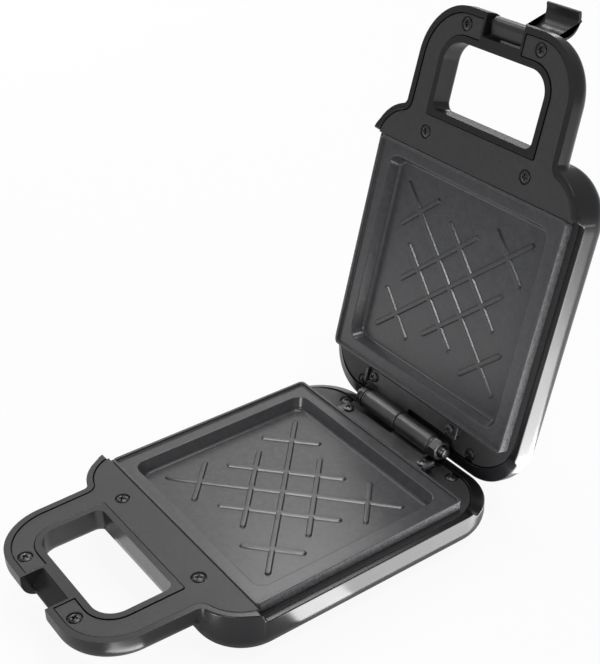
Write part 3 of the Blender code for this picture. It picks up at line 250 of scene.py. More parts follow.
def softened(shell, width, angle=55, segments=2):
    # bevels the edges that are sharper than angle
    target = meshObject("target", shell)
    target.modifiers.new("Weld", "WELD").merge_threshold = 0.002
    step = target.modifiers.new("Bevel", "BEVEL")
    step.width, step.segments, step.limit_method = width, segments, "ANGLE"
    step.angle_limit, step.use_clamp_overlap = math.radians(angle), True
    return applied(target)


def addPiece(name, shell, body, replaced, slot, material=None, sharp=35):
    # a shell at its body's place, smooth up to the sharp angle, in its slot's finish unless a material is given
    thing = meshObject(name, (places[body](shell[0]), shell[1]))
    thing.data.materials.append(material or finishes[slot])
    thing.data.shade_smooth()
    thing.data.set_sharp_from_angle(angle=math.radians(sharp))
    weighted = thing.modifiers.new("Weighted", "WEIGHTED_NORMAL")
    weighted.keep_sharp, weighted.weight = True, 60
    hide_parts(replaced)
    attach(thing, body)
    return thing


def addHalves(name, shell, replaced, slot):
    # the same shell on the base and on the lid
    return [addPiece(half + name, shell, body, f"{body}_{replaced}", slot)
            for half, body in (("lower", "base"), ("upper", "lid"))]


# Materials

def feed(tree, made, values):
    # another node's output is linked to the input, a plain value is written on it
    for key, value in values.items():
        if isinstance(value, bpy.types.NodeSocket):
            tree.links.new(value, made.inputs[key])
        else:
            made.inputs[key].default_value = value


def node(tree, kind, values=None, **settings):
    # settings come before values, because they decide which inputs the node has
    made = tree.nodes.new(kind)
    for key, value in settings.items():
        setattr(made, key, value)
    feed(tree, made, values or {})
    return made


def newGroup(name, inputs, outputs):
    # node group with inputs by their usual values and outputs by name; returns it with both ends
    group = bpy.data.node_groups.new(name, "ShaderNodeTree")
    for label, value in inputs.items():
        socket = group.interface.new_socket(label, in_out="INPUT", socket_type="NodeSocketFloat")
        socket.default_value = value
    for label in outputs:
        group.interface.new_socket(label, in_out="OUTPUT", socket_type="NodeSocketFloat")
    return group, group.nodes.new("NodeGroupInput").outputs, group.nodes.new("NodeGroupOutput")


def mathNode(tree, operation, first, second):
    return node(tree, "ShaderNodeMath", {0: first, 1: second}, operation=operation).outputs[0]


def ramp(tree, value, low, high):
    # 0 at low, 1 at high, straight between
    return node(tree, "ShaderNodeMapRange", {"Value": value, "From Min": low, "From Max": high}).outputs["Result"]


def objectPoint(tree):
    return node(tree, "ShaderNodeTexCoord").outputs["Object"]


def noise(tree, point, scale, detail, roughness=0.5):
    return node(tree, "ShaderNodeTexNoise", {"Vector": point, "Scale": scale, "Detail": detail,
                                             "Roughness": roughness}).outputs["Fac"]


def makeGrain():
    # moulded or cast grain: fine noise plus a share of a coarser one, as a height
    group, inside, out = newGroup("surfaceGrain", {"Fine": 2400.0, "Coarse": 500.0, "Share": 0.3}, ("Height", "Tone"))
    point = objectPoint(group)
    fine, coarse = (noise(group, point, inside[label], detail, 0.6)
                    for label, detail in (("Fine", 3.0), ("Coarse", 4.0)))
    share = mathNode(group, "MULTIPLY", coarse, inside["Share"])
    feed(group, out, {"Height": mathNode(group, "ADD", fine, share), "Tone": coarse})
    return group


def makeSmudge():
    # wiped and handled gloss: broad soft patches times thin streaks, as a roughness to add, and dust specks
    group, inside, out = newGroup("handledGloss", {"Patches": 22.0, "Streaks": 160.0, "Amount": 0.06},
                                  ("Roughness", "Dust"))
    point = objectPoint(group)
    patch = noise(group, point, inside["Patches"], 5.0, 0.62)
    stretched = node(group, "ShaderNodeMapping", {"Vector": point, "Scale": (1.0, 0.12, 0.4),
                                                  "Rotation": (0.3, 0.2, 0.5)}).outputs["Vector"]
    streak = noise(group, stretched, inside["Streaks"], 3.0)
    both = mathNode(group, "MULTIPLY", ramp(group, patch, 0.45, 0.75), streak)
    speck = node(group, "ShaderNodeTexVoronoi", {"Vector": point, "Scale": 900.0}).outputs["Distance"]
    feed(group, out, {"Roughness": mathNode(group, "MULTIPLY", both, inside["Amount"]),
                      "Dust": mathNode(group, "LESS_THAN", speck, 0.07)})
    return group


def makeBrush():
    # drawn or turned metal: noise stretched along X, as a height, and a broad tone
    group, inside, out = newGroup("drawnLines", {"Scale": 900.0, "Stretch": 0.04}, ("Height", "Tone"))
    point = objectPoint(group)
    parts = node(group, "ShaderNodeSeparateXYZ", {0: point}).outputs
    along = mathNode(group, "MULTIPLY", parts["X"], inside["Stretch"])
    joined = node(group, "ShaderNodeCombineXYZ", {"X": along, "Y": parts["Y"], "Z": parts["Z"]}).outputs[0]
    feed(group, out, {"Height": noise(group, joined, inside["Scale"], 4.0, 0.7),
                      "Tone": noise(group, point, 60.0, 3.0)})
    return group


grain, smudge, brush = makeGrain(), makeSmudge(), makeBrush()


def placed(tree, group, **values):
    # outputs of the group, placed with this material's values
    return node(tree, "ShaderNodeGroup", values, node_tree=group).outputs


def startMaterial(name, roughness, **settings):
    material = bpy.data.materials.new(name)
    material.use_nodes = True
    tree = material.node_tree
    shader = tree.nodes["Principled BSDF"]
    feed(tree, shader, {"Roughness": roughness, **settings})
    return material, tree, shader


def mixedColour(tree, mask, first, second):
    # first where the mask is 0, second where it is 1; each is a colour or another node's output
    ends = [end if isinstance(end, bpy.types.NodeSocket) else (*end, 1.0) for end in (first, second)]
    return node(tree, "ShaderNodeMix", {"Factor": mask, "A": ends[0], "B": ends[1]}, data_type="RGBA").outputs["Result"]


def bumped(tree, height, strength, depth):
    return node(tree, "ShaderNodeBump", {"Strength": strength, "Distance": depth, "Height": height}).outputs["Normal"]


def glossPlastic(name, colour, worn, roughness=0.24):
    # moulded shell with a polished face, faint handling marks and a little dust
    material, tree, shader = startMaterial(name, roughness)
    marks = placed(tree, smudge, Patches=26.0, Streaks=190.0, Amount=0.12)
    ripple = placed(tree, grain, Fine=90.0, Coarse=30.0, Share=0.8)
    feed(tree, shader, {"Base Color": mixedColour(tree, marks["Dust"], colour, worn),
                        "Roughness": mathNode(tree, "ADD", marks["Roughness"], roughness),
                        "Normal": bumped(tree, ripple["Height"], 0.25, 0.00004)})
    return material


def mattePlastic(name, dark, light, roughness, fine=2600.0, coarse=420.0, depth=0.00006):
    # spark-eroded mould texture, wiped a little smoother in places
    material, tree, shader = startMaterial(name, roughness, **{"Specular IOR Level": 0.32})
    skin = placed(tree, grain, Fine=fine, Coarse=coarse, Share=0.35)
    wipe = placed(tree, smudge, Patches=16.0, Streaks=80.0, Amount=0.12)
    feed(tree, shader, {"Base Color": mixedColour(tree, ramp(tree, skin["Tone"], 0.3, 0.7), dark, light),
                        "Roughness": mathNode(tree, "SUBTRACT", roughness, wipe["Roughness"]),
                        "Normal": bumped(tree, skin["Height"], 0.55, depth)})
    return material


def nonStickCoat(name, dark, light, fleck):
    # sprayed coating over a casting: orange-peel height and fine pale flecks
    material, tree, shader = startMaterial(name, 0.3, **{"Specular IOR Level": 0.45})
    skin = placed(tree, grain, Fine=1500.0, Coarse=260.0, Share=0.5)
    cells = node(tree, "ShaderNodeTexVoronoi", {"Vector": objectPoint(tree), "Scale": 2200.0}).outputs["Distance"]
    coat = mixedColour(tree, ramp(tree, skin["Tone"], 0.3, 0.72), dark, light)
    coat = mixedColour(tree, mathNode(tree, "MULTIPLY", ramp(tree, cells, 0.45, 0.1), 0.3), coat, fleck)
    # bare casting where the cast attribute is 1: torn streaks along the wall, rougher and lighter than the coating
    cast = node(tree, "ShaderNodeAttribute", attribute_name="cast").outputs["Fac"]
    torn = placed(tree, grain, Fine=900.0, Coarse=1700.0, Share=0.9)
    streaks = ramp(tree, torn["Height"], 0.75, 1.15)
    relief = mathNode(tree, "MULTIPLY", mathNode(tree, "MULTIPLY", streaks, cast), 9.0)
    feed(tree, shader, {
        "Base Color": mixedColour(tree, cast, coat, mixedColour(tree, streaks, dark, fleck)),
        "Roughness": mathNode(tree, "ADD", ramp(tree, skin["Tone"], -1.0, 5.4), mathNode(tree, "MULTIPLY", cast, 0.25)),
        "Normal": bumped(tree, mathNode(tree, "ADD", skin["Height"], relief), 0.7, 0.00005)})
    return material


def metal(name, dark, light, roughness, scale=900.0, stretch=0.04):
    # drawn or turned steel, duller where its tone is light
    material, tree, shader = startMaterial(name, roughness, Metallic=1.0)
    lines = placed(tree, brush, Scale=scale, Stretch=stretch)
    dull = mathNode(tree, "MULTIPLY", lines["Tone"], 0.2)
    feed(tree, shader, {"Base Color": mixedColour(tree, ramp(tree, lines["Tone"], 0.3, 0.7), dark, light),
                        "Roughness": mathNode(tree, "ADD", dull, roughness - 0.1),
                        "Normal": bumped(tree, lines["Height"], 0.4, 0.00003)})
    return material


def lensPlastic(name, colour, dust=(0.6, 0.6, 0.6), roughness=0.08):
    # tinted clear lens with fine dust
    material, tree, shader = startMaterial(name, roughness, **{"Transmission Weight": 0.35})
    marks = placed(tree, smudge, Patches=200.0, Streaks=900.0, Amount=0.1)
    feed(tree, shader, {"Base Color": mixedColour(tree, marks["Dust"], colour, dust),
                        "Roughness": mathNode(tree, "ADD", marks["Roughness"], roughness)})
    return material


clipGloss = glossPlastic("clipGloss", (0.024, 0.024, 0.024), (0.07, 0.07, 0.07), 0.3)
nutSteel = metal("nutSteel", (0.075, 0.075, 0.078), (0.12, 0.12, 0.123), 0.32, 1200.0, 0.3)
finishes = {    # by the record's material slots
    "gloss_black": glossPlastic("shellGloss", (0.008, 0.008, 0.009), (0.05, 0.05, 0.05)),
    "satin_black": mattePlastic("frameMatte", (0.038, 0.038, 0.039), (0.047, 0.047, 0.048), 0.4),
    "nonstick": nonStickCoat("plateCoat", (0.050, 0.050, 0.052), (0.063, 0.063, 0.066), (0.15, 0.15, 0.155)),
    "dark_steel": metal("hingeSteel", (0.10, 0.10, 0.103), (0.15, 0.15, 0.153), 0.36),
    "blackened_screw": metal("screwBlack", (0.06, 0.06, 0.062), (0.11, 0.11, 0.112), 0.36, 1500.0, 1.0),
    "tray_steel": metal("traySteel", (0.55, 0.55, 0.54), (0.68, 0.68, 0.66), 0.32, 500.0, 0.05),
    "element_steel": metal("elementSteel", (0.20, 0.17, 0.14), (0.34, 0.31, 0.28), 0.46, 700.0, 0.4),
    "ceramic": mattePlastic("ceramicWhite", (0.72, 0.69, 0.62), (0.80, 0.78, 0.72), 0.62, 1800.0, 300.0),
    "lead_sleeve": mattePlastic("leadSleeve", (0.60, 0.57, 0.48), (0.72, 0.69, 0.60), 0.8, 3000.0, 900.0, 0.0002),
    "foot_rubber": mattePlastic("footRubber", (0.022, 0.022, 0.022), (0.034, 0.034, 0.034), 0.85, 1600.0, 300.0,
                                0.0001),
    "red_lens": lensPlastic("redLens", (0.5, 0.015, 0.01)),
    "green_lens": lensPlastic("greenLens", (0.015, 0.33, 0.05)),
}
print("materials made:", len(bpy.data.materials))


# Housing: bowl and loop handle

housing = {
    "side": 71.5, "rear": 83.2, "rearCorner": 26.5, "shoulder": 25.2, "shoulderY": -54.6,
    "depth": 24.5, "rounding": 11.0, "wall": 3.2, "floor": 2.6, "rimWidth": 3.2, "rearRim": 7.2,
    "rimCorner": 24.8, "rimDrop": 5.6, "rearSlope": 3.3, "rimRound": 0.35, "edge": 0.55, "innerTop": -9.3,
    "step": (-61.3, -57.9), "slope": (60.5, 64.5),      # where the rim drops and where its slope sets in, along Y
    "earProud": 0.88, "earRise": (-67.0, -61.6), "earFall": (-60.4, -58.8), "earFade": ((-1.2, 1.0), (-2.4, 0.8)),
    "duck": (73.6, 75.0), "duckExtra": 0.6, "wallLow": -12.9,
    "neckFillet": 3.0, "neckLevels": (-0.03, -3.25, -3.35), "neckRear": (50.6, -66.0),
    "handleSide": 51.7, "handleTaper": 0.7, "handleFront": -133.8, "handleDepth": 13.5, "handleRounding": 9.0,
    "handleEdge": 0.4, "cornerX": 27.0, "cornerY": 28.8, "seat": 3.1, "seatRear": -50.0,
    "windowX": 33.7, "windowRear": -81.8, "windowFront": -116.8, "windowFlare": 4.0, "windowCorners": (11.0, 4.0),
    "panelCorner": 0.7, "slotX": 12.4, "slotRear": -122.4, "slotCorner": 0.6, "cheek": 1.3,
    "barZ": -5.6, "barRadius": 2.6,
    "inlet": (-14.0, -13.6), "inletRadius": 4.2, "lamps": (8.0, -60.3), "lampHole": ((3.75, -2.4), 3.55),
    "ventHalf": (1.2, 12.0), "ventCorner": 1.15, "vents": (-16.0, -8.0, 0.0, 8.0, 16.0),
}
shoulderCentre = np.array([housing["side"] - housing["shoulder"], housing["shoulderY"]])
rearCentre = np.array([housing["side"] - housing["rearCorner"], housing["rear"] - housing["rearCorner"]])
rearAngles = np.linspace(90, 0, 37)
shoulderAngles = np.concatenate([np.linspace(0, -26, 40), np.linspace(-26, -90, 46)[1:]])


def bowlOutline(inset):
    # two arcs a side about the rear and shoulder centres, their radii less the inset
    return bothSides(np.concatenate([onCircle(rearCentre, housing["rearCorner"] - inset, rearAngles),
                                     onCircle(shoulderCentre, housing["shoulder"] - inset, shoulderAngles)]))


def rimOutline(growth):
    # inside of the rims, as two arcs a side: side and front rims are narrower than the rear one
    h = housing
    corner = np.array([h["side"] - h["rimWidth"] - h["rimCorner"], h["rear"] - h["rearRim"] - h["rimCorner"]])
    return bothSides(np.concatenate([onCircle(corner, h["rimCorner"] + growth, rearAngles),
                                     onCircle(shoulderCentre, h["shoulder"] - h["rimWidth"] + growth, shoulderAngles)]))


columnAngle = np.concatenate([rearAngles * 0 + 90, shoulderAngles])
columnAngle = np.concatenate([columnAngle, columnAngle[::-1]])


def smooth(value, low, high):
    # S-curve of the share t of the way from low to high: t t (3 - 2 t)
    t = np.clip((value - low) / (high - low), 0, 1)
    return t * t * (3 - 2 * t)


def rimRing(outline, height, share, ear=0.0):
    # a ring whose height follows the rim: high in front, an S-shaped step at each shoulder, low at the
    # sides, sloping outwards at the rear; share says how much of that the ring takes
    h = housing
    x, y = outline[:, 0], outline[:, 1]
    across, back = np.abs(x) - rearCentre[0], y - rearCentre[1]
    cornered = np.hypot(across, back) - h["rearCorner"]
    distance = np.where((across > 0) & (back > 0), cornered, np.maximum(np.abs(x) - h["side"], y - h["rear"]))
    inset = np.clip(-distance, 0, h["rearRim"])
    top = -h["rimDrop"] * smooth(y, *h["step"])
    top = top - h["rearSlope"] * (1 - inset / h["rearRim"]) * smooth(y, *h["slope"])
    # where the handle takes over, the front rim ducks under the panel's seat
    duck = (h["seat"] + h["duckExtra"]) * smooth(-columnAngle, *h["duck"]) * (columnAngle < 0)
    bulge = h["earProud"] * smooth(y, *h["earRise"]) * (1 - smooth(y, *h["earFall"])) * ear
    return np.stack([x + np.sign(x) * bulge, y, height + top * share - duck * share], axis=1)


def bowl():
    # rings up the inner wall, over the rim's two rounded edges, down the outer wall and round under the floor
    h = housing
    edge, lip, rounding = h["edge"], h["rimRound"], h["rounding"]
    inner, floorZ = rounding - h["wall"], h["floor"] - h["depth"]
    stack = [level(bowlOutline(h["wall"] + inner * c), floorZ + inner * s) for c, s in bend(7)[::-1]]
    stack += [level(bowlOutline(h["wall"]), h["innerTop"]), level(rimOutline(0), h["innerTop"] + 0.1)]
    stack += [rimRing(rimOutline(lip * c), -lip * s, 1.0) for c, s in bend(5)]
    inside, outside = rimOutline(lip), bowlOutline(edge)
    stack += [rimRing(inside + (outside - inside) * t, 0.0, 1.0, t) for t in (0.3, 0.65)]
    stack += [rimRing(bowlOutline(edge * s), -edge * c, 1.0, 1.0) for c, s in bend(5)]
    stack += [rimRing(bowlOutline(0), height, 1.0, ear) for height, ear in h["earFade"]]
    stack += [rimRing(bowlOutline(0), h["wallLow"], 0.0)]
    stack += [level(bowlOutline(rounding * c), rounding * s - h["depth"]) for c, s in bend(15)]
    return rings(stack)


# Tangent circle in the neck, outside the shoulder's arc and beside the handle
filletX = housing["handleSide"] + housing["neckFillet"]
filletReach = housing["shoulder"] + housing["neckFillet"]
filletY = housing["shoulderY"] - math.sqrt(filletReach ** 2 - (filletX - shoulderCentre[0]) ** 2)
neckNormal = np.array([filletX - shoulderCentre[0], filletY - housing["shoulderY"]]) / filletReach
neckAngle = math.degrees(math.atan2(-neckNormal[1], -neckNormal[0]))


def handleSideLine(inset):
    # right side of the handle from the shoulder's tangent point round the fillet to its elliptic front corner
    h = housing
    fillet = arc((filletX, filletY), h["neckFillet"] + inset, neckAngle, 180, 10)
    corner = arc((h["handleSide"] - h["handleTaper"] - h["cornerX"], h["handleFront"] + h["cornerY"]),
                 (h["cornerX"] - inset, h["cornerY"] - inset), 0, -90, 44)
    return np.concatenate([fillet, corner])


def handleRing(inset, height, rearPoint):
    # both side lines, closed at the rear between rearPoint and its mirror image
    return level(bothSides(np.concatenate([[rearPoint], handleSideLine(inset)])), height)


def windowOutline(growth=0.0, rearCorner=None):
    # rounded rectangle of the handle's window, grown outwards with its corners
    h = housing
    front, rear = h["windowCorners"]
    return roundedBox(h["windowX"] + growth, h["windowFront"] - growth, h["windowRear"] + growth, front + growth,
                      rearCorner or rear + growth, 12)


def panelOutline(inset, end, rearY):
    # outline of the front panel or of its seat: U-shaped, its two ends beside the latch slot
    h = housing
    margin = h["rimWidth"] + inset
    side, radius = handleSideLine(margin), h["shoulder"] - margin
    tangentAngle = -math.degrees(math.acos((side[0, 0] - shoulderCentre[0]) / radius))
    if rearY < h["shoulderY"]:
        startAngle = math.degrees(math.asin((rearY - shoulderCentre[1]) / radius))
        body = onCircle(shoulderCentre, radius, np.linspace(startAngle, tangentAngle, 26))[:-1]
    else:
        body = np.array([[side[0, 0], rearY]])
    window = windowOutline(margin, h["panelCorner"])
    inner = window[: len(window) // 2][::-1]
    ends = [[end, h["handleFront"] + margin], [end, h["windowFront"] - margin]]
    return bothSides(np.concatenate([body, side, ends, inner]))


def handle():
    # rounded loop less its flared window, the panel's seat and the latch slot
    h = housing
    depth, rounding, flareOut = h["handleDepth"], h["handleRounding"], h["windowFlare"]
    neckIn = onCircle(shoulderCentre, h["shoulder"] - h["rimWidth"], np.array([neckAngle - 180.0]))[0]
    deepRear = np.array(h["neckRear"])
    stack = [handleRing(0, height, rear) for height, rear in zip(h["neckLevels"], (neckIn, neckIn, deepRear))]
    stack += [handleRing(rounding * c, rounding * s - depth, deepRear) for c, s in bend(15)]
    flare = [level(windowOutline(), over)]
    flare += [level(windowOutline(flareOut * c), flareOut * s - depth) for c, s in bend(9)]
    flare += [level(windowOutline(flareOut), -depth - over / 2)]
    seat = panelOutline(0.0, h["slotX"] + h["cheek"], h["seatRear"])
    loop = carved(rings(stack), rings(flare))
    loop = carved(loop, rings([level(seat, -h["seat"]), level(seat, over)]))
    slot = boxShell((-h["slotX"], h["handleFront"] - over, -depth - over), (h["slotX"], h["slotRear"], over + 1),
                    h["slotCorner"])
    return softened(carved(loop, slot), h["handleEdge"])


catch = {   # section of the catch in Y and Z: from the slot's rear edge, from the nose, from the nose over the floor
    "nose": (-129.2, -8.2), "bite": 0.3,
    "ramp": ((1.5, -0.9), (0.1, -0.5), (-0.4, -0.75), (-0.9, -1.5)),
    "tip": ((0.6, 1.2), (0.1, 0.4), (0.0, 0.0), (0.15, -0.5), (1.3, -2.6)),
    "heel": ((2.4, 1.3), (3.4, 0.5), (4.8, 0.15)), "back": (1.5, 0.1),
}


def catchShell():
    # section carried along X: a ramp down to a rounded nose, undercut below, where the latch's tooth snaps under
    nose, rear, low = np.array(catch["nose"]), housing["slotRear"], -housing["handleDepth"]
    section = np.concatenate([np.array(catch["ramp"]) + (rear, 0), np.array(catch["tip"]) + nose,
                              np.array(catch["heel"]) + (nose[0], low), [np.array(catch["back"]) + (rear, low)]])
    half = housing["slotX"] + catch["bite"]
    return rings([np.insert(section, 0, x, axis=1) for x in (-half, half)])


def throughRear(points):
    # local Z becomes Y, out through the rear wall at the cord inlet
    x, z = housing["inlet"]
    return np.stack([points[:, 0] + x, points[:, 2] + housing["rear"], z - points[:, 1]], axis=1)


def makeShells():
    # bowl and handle joined, then the base's inlet, vents and catch and the lid's lamp holes
    h = housing
    common, reach, low = carved(bowl(), handle(), "UNION"), 6, -h["depth"]
    inlet = revolved([(0, -reach), (h["inletRadius"], -reach), (h["inletRadius"], reach), (0, reach)], 32, throughRear)
    wide, long = h["ventHalf"]
    vents = [boxShell((x - wide, -long, low - over), (x + wide, long, low + 5), h["ventCorner"]) for x in h["vents"]]
    base = together(carved(carved(common, inlet), together(*vents)), catchShell())
    (x, y), ((mouth, step), radius) = h["lamps"], h["lampHole"]
    profile = [(0, -reach), (mouth, -reach), (radius, step), (radius, 4), (0, 4)]
    return base, carved(common, pair(lambda side: revolved(profile, 40, at(side * x, y, low + 2.0))))


baseShell, lidShell = makeShells()
print("housings:", len(baseShell[1]), "and", len(lidShell[1]), "faces")
addPiece("lowerHousing", baseShell, "base", "base_housing", "gloss_black")
addPiece("upperHousing", lidShell, "lid", "lid_housing", "gloss_black")


# Inner frame: front panel, riser and the ledge round the plate

innerFrame = {
    "gap": 0.4, "panelTop": -0.4, "panelLow": -2.8, "edge": 0.3, "lowEdge": 0.1, "panelRear": -59.55,
    "slotMargin": 1.6, "riser": 2.0, "riserHalf": 66.6, "riserTop": -0.9,
    "ledgeTop": -6.2, "ledgeLow": -8.2, "openX": 58.3, "openY": 54.3, "openCorner": 9.0,
    "recess": 3.6, "recessDepth": 1.4, "leafScrewX": 30.0, "leafScrewY": 64.15, "padRadius": 4.0, "padTop": -3.4,
    "gripScrew": (24.3, -125.6), "neckScrew": (34.6, -69.7), "rearScrew": (42.5, 72.75),
}


def recessCutter(x, y, top):
    # round screw recess: a bevelled floor and a mouth that opens in two steps, turned about Z
    radius, low = innerFrame["recess"], top - innerFrame["recessDepth"]
    return revolved([(0, low), (radius - 0.25, low), (radius, low + 0.25), (radius, top - 0.3),
                     (radius + 0.12, top - 0.1), (radius + 0.4, top + 0.02), (radius + 0.4, top + 1), (0, top + 1)],
                    48, at(x, y, 0))


def frameShell():
    # slab in the panel's outline, upright riser behind it, ledge ring between rim and opening, two screw pads
    f = innerFrame
    outline = panelOutline(f["gap"], housing["slotX"] + f["slotMargin"], f["panelRear"])
    panel = roundedSlab(outline, f["panelLow"], f["panelTop"], f["edge"], f["lowEdge"])
    panel = carved(panel, together(*[pair(lambda side: recessCutter(side * x, y, f["panelTop"]))
                                     for x, y in (f["gripScrew"], f["neckScrew"])]))
    soft, top, low = f["edge"], f["ledgeTop"], f["ledgeLow"]
    riser = boxShell((-f["riserHalf"], f["panelRear"] - f["riser"], low),
                     (f["riserHalf"], f["panelRear"] - 0.02, f["riserTop"]), soft)
    outer, openY, corner = rimOutline(-f["gap"]), f["openY"], f["openCorner"]
    opening = roundedBox(f["openX"], -openY, openY, corner, corner, len(outer) // 4 - 1)
    opening = opening[np.linspace(0, len(opening) - 1, len(outer)).round().astype(int)]
    outside = ((0.3, low), (0, low + soft), (0, top - soft), (0.1, top - 0.09), (0.35, top))     # inset, height
    inside = ((0.06, top), (0.01, top - soft), (0, low + 0.2), (0.04, low))     # share of the way out, height
    ledge = rings([level(grown(outer, -inset), z) for inset, z in outside]
                  + [level(opening + (outer - opening) * share, z) for share, z in inside], endless=True)
    x, y = f["rearScrew"]
    ledge = carved(ledge, pair(lambda side: recessCutter(side * x, y, top)))
    radius, foot, padTop = f["padRadius"], low + 0.5, f["padTop"]
    profile = [(0, foot), (radius, foot), (radius, padTop - soft), (radius - soft, padTop), (0, padTop)]
    pads = pair(lambda side: revolved(profile, 40, at(side * f["leafScrewX"], f["leafScrewY"], 0)))
    return together(panel, riser, ledge, pads)


frameForm = frameShell()
addHalves("InnerFrame", frameForm, "inner_frame", "satin_black")
print("inner frames:", len(frameForm[1]), "faces each")


# Cooking plate: lip, rim, drafted cavity, cast ribs

plate = {
    "sides": (65.0, 59.25), "corner": 2.5, "skirt": -5.9, "skirtInset": 0.4, "lip": 1.5, "lipHeight": 1.5, "edge": 0.35,
    "lipCorners": (1.35, 1.2), "mouth": (55.7, 51.7), "mouthCorner": 6.0, "mouthEdge": 0.7, "draft": 2.4,
    "fillet": 1.8, "depth": 8.0, "pan": (57.5, 53.5), "panCorner": 9.0, "panBottom": -11.0, "panEdge": (3, 2),
    "cornerSteps": 12, "castRings": 9,      # the first rings, pan and skirt, keep the rough casting
    "ribWidth": 3.0,        # the profile gives shares of half the width, and heights over the floor
    "ribProfile": ((1.08, -0.3), (1.08, -0.02), (1.02, 0.03), (1.0, 0.08), (0.73, 0.80), (0.69, 0.90),
                   (0.64, 0.95), (0.02, 0.96)),
    "longRib": (0.825, 0.795), "middleRib": ((-0.182, 0.61), (0.636, -0.183)),
    "shortRib": ((0.40, 0.767), (0.80, 0.371)),
}


def plateRing(sides, inset, corner, height):
    # rounded rectangle about the plate's centre, its half sides less the inset
    x, y = sides[0] - inset, sides[1] - inset
    return level(roundedBox(x, -y, y, corner, corner, plate["cornerSteps"]), height)


def plateBody():
    # rings from the pan's floor out and up the skirt, over the lip, down into the cavity and round its fillet
    p = plate
    sides, pan, mouth, edge, lip, rim = p["sides"], p["pan"], p["mouth"], p["edge"], p["lip"], -p["lipHeight"]
    bow, tighter = p["panEdge"]
    inner, outer = p["lipCorners"]
    turn = bend(5)
    stack = [plateRing(pan, bow * c, p["panCorner"] - tighter * c, p["panBottom"] + bow * s) for c, s in turn[::-1]]
    stack += [plateRing(pan, 0, p["panCorner"], p["skirt"]), plateRing(sides, p["skirtInset"], p["corner"], p["skirt"]),
              plateRing(sides, 0.1, p["corner"], p["skirt"] + 0.3)]
    stack += [plateRing(sides, edge * c, p["corner"] - edge * c, -edge * s) for c, s in turn]
    stack += [plateRing(sides, lip - edge * s, inner - edge * (1 - s), -edge * c) for c, s in turn]
    stack += [plateRing(sides, lip + edge * c, outer, rim + edge * s) for c, s in turn]
    mouthEdge, fillet, depth = p["mouthEdge"], p["fillet"], p["depth"]
    stack += [plateRing(mouth, -mouthEdge * s, p["mouthCorner"] + mouthEdge * s, rim - mouthEdge * c) for c, s in turn]
    wallEnd = p["draft"] * (depth + rim - fillet) / (depth + rim)
    for c, s in bend(9):
        inset = wallEnd + fillet * c
        stack.append(plateRing(mouth, inset, p["mouthCorner"] - inset * 0.5, fillet * s - depth))
    return rings(stack)


def ribShell(start, end):
    # stadium-shaped bead: its outline shrinks as an arch rises, with a flared foot
    start, end = np.array(start, float), np.array(end, float)
    angle = math.degrees(math.atan2(end[1] - start[1], end[0] - start[0]))
    half, floor = plate["ribWidth"] / 2, -plate["depth"]
    stack = []
    for share, height in plate["ribProfile"]:
        outline = [arc(point, half * share, angle + turn, angle + turn + 180, 10)
                   for point, turn in ((end, -90), (start, 90))]
        stack.append(level(np.concatenate(outline), floor + height))
    return rings(stack)


def ribLines():
    # two diagonals, four parallels and four short crossing strokes, as shares of the cavity's floor
    floor = np.array(plate["mouth"]) - plate["draft"]
    x, y = plate["longRib"]
    for side in (-1, 1):
        yield np.array([(-x * side, y), (x * side, -y)]) * floor
        for turn in (-1, 1):
            yield np.array(plate["middleRib"]) * floor * (side * turn, turn)
            yield np.array(plate["shortRib"]) * floor * (side, turn)


plateForm = together(plateBody(), *[ribShell(*line) for line in ribLines()])
castMask = np.zeros(len(plateForm[0]), np.float32)
castMask[: plate["castRings"] * 4 * (plate["cornerSteps"] + 1)] = 1.0
for made in addHalves("Plate", plateForm, "plate", "nonstick"):
    made.data.attributes.new("cast", "FLOAT", "POINT").data.foreach_set("value", castMask)
print("plates:", len(plateForm[1]), "faces each")


# Screws: crowned head with a crossed recess

screws = {
    "headRadius": 2.8, "headHeight": 1.6, "crown": 0.6, "crownPower": 2.4, "faceRadius": 2.1,
    "rim": (2.35, 2.55, 2.7, 2.78), "armLength": 1.75, "armWidth": 0.42, "heart": (0.55, 0.95),
    "crossDepth": 1.1, "shank": 1.4, "length": 8.0, "around": 96, "leafSeat": -1.5, "firstTurn": 0.4, "nextTurn": 1.7,
}


def crossArm(across, along):
    # 1 inside one arm of the cross, smooth to 0 at its sides and its end
    s = screws
    return ((1 - smooth(across, s["armWidth"] - 0.1, s["armWidth"] + 0.12))
            * (1 - smooth(along, s["armLength"] - 0.5, s["armLength"])))


def screwShell(x, y, seat, turn=0.0):
    # head height over the polar grid: headHeight - crown (r / R)^power, less the cross's depth where an arm lies
    s = screws
    angle = np.linspace(0, 2 * math.pi, s["around"], endpoint=False)
    cos, sin, head, tiny = np.cos(angle), np.sin(angle), s["headRadius"], 0.02
    stack = []
    for radius in (*np.linspace(tiny, s["faceRadius"], 20), *s["rim"], head):
        px, py = radius * cos, radius * sin
        top = s["headHeight"] - s["crown"] * (radius / head) ** s["crownPower"]
        armX, armY = np.abs(px), np.abs(py)
        heart = 1 - smooth(np.full_like(px, radius), *s["heart"])
        deep = np.maximum(np.maximum(crossArm(armY, armX), crossArm(armX, armY)), heart)
        stack.append(np.stack([px, py, top - s["crossDepth"] * deep], axis=1))
    for radius, height in ((head, 0.5), (head - 0.15, tiny), (s["shank"], tiny), (s["shank"], -s["length"]),
                           (tiny, -s["length"] - 0.3)):
        stack.append(np.stack([radius * cos, radius * sin, np.full_like(angle, height)], axis=1))
    points, faces = rings(stack)
    c, t = math.cos(turn), math.sin(turn)
    turned = np.stack([points[:, 0] * c - points[:, 1] * t, points[:, 0] * t + points[:, 1] * c, points[:, 2]], axis=1)
    return turned + (x, y, seat), faces


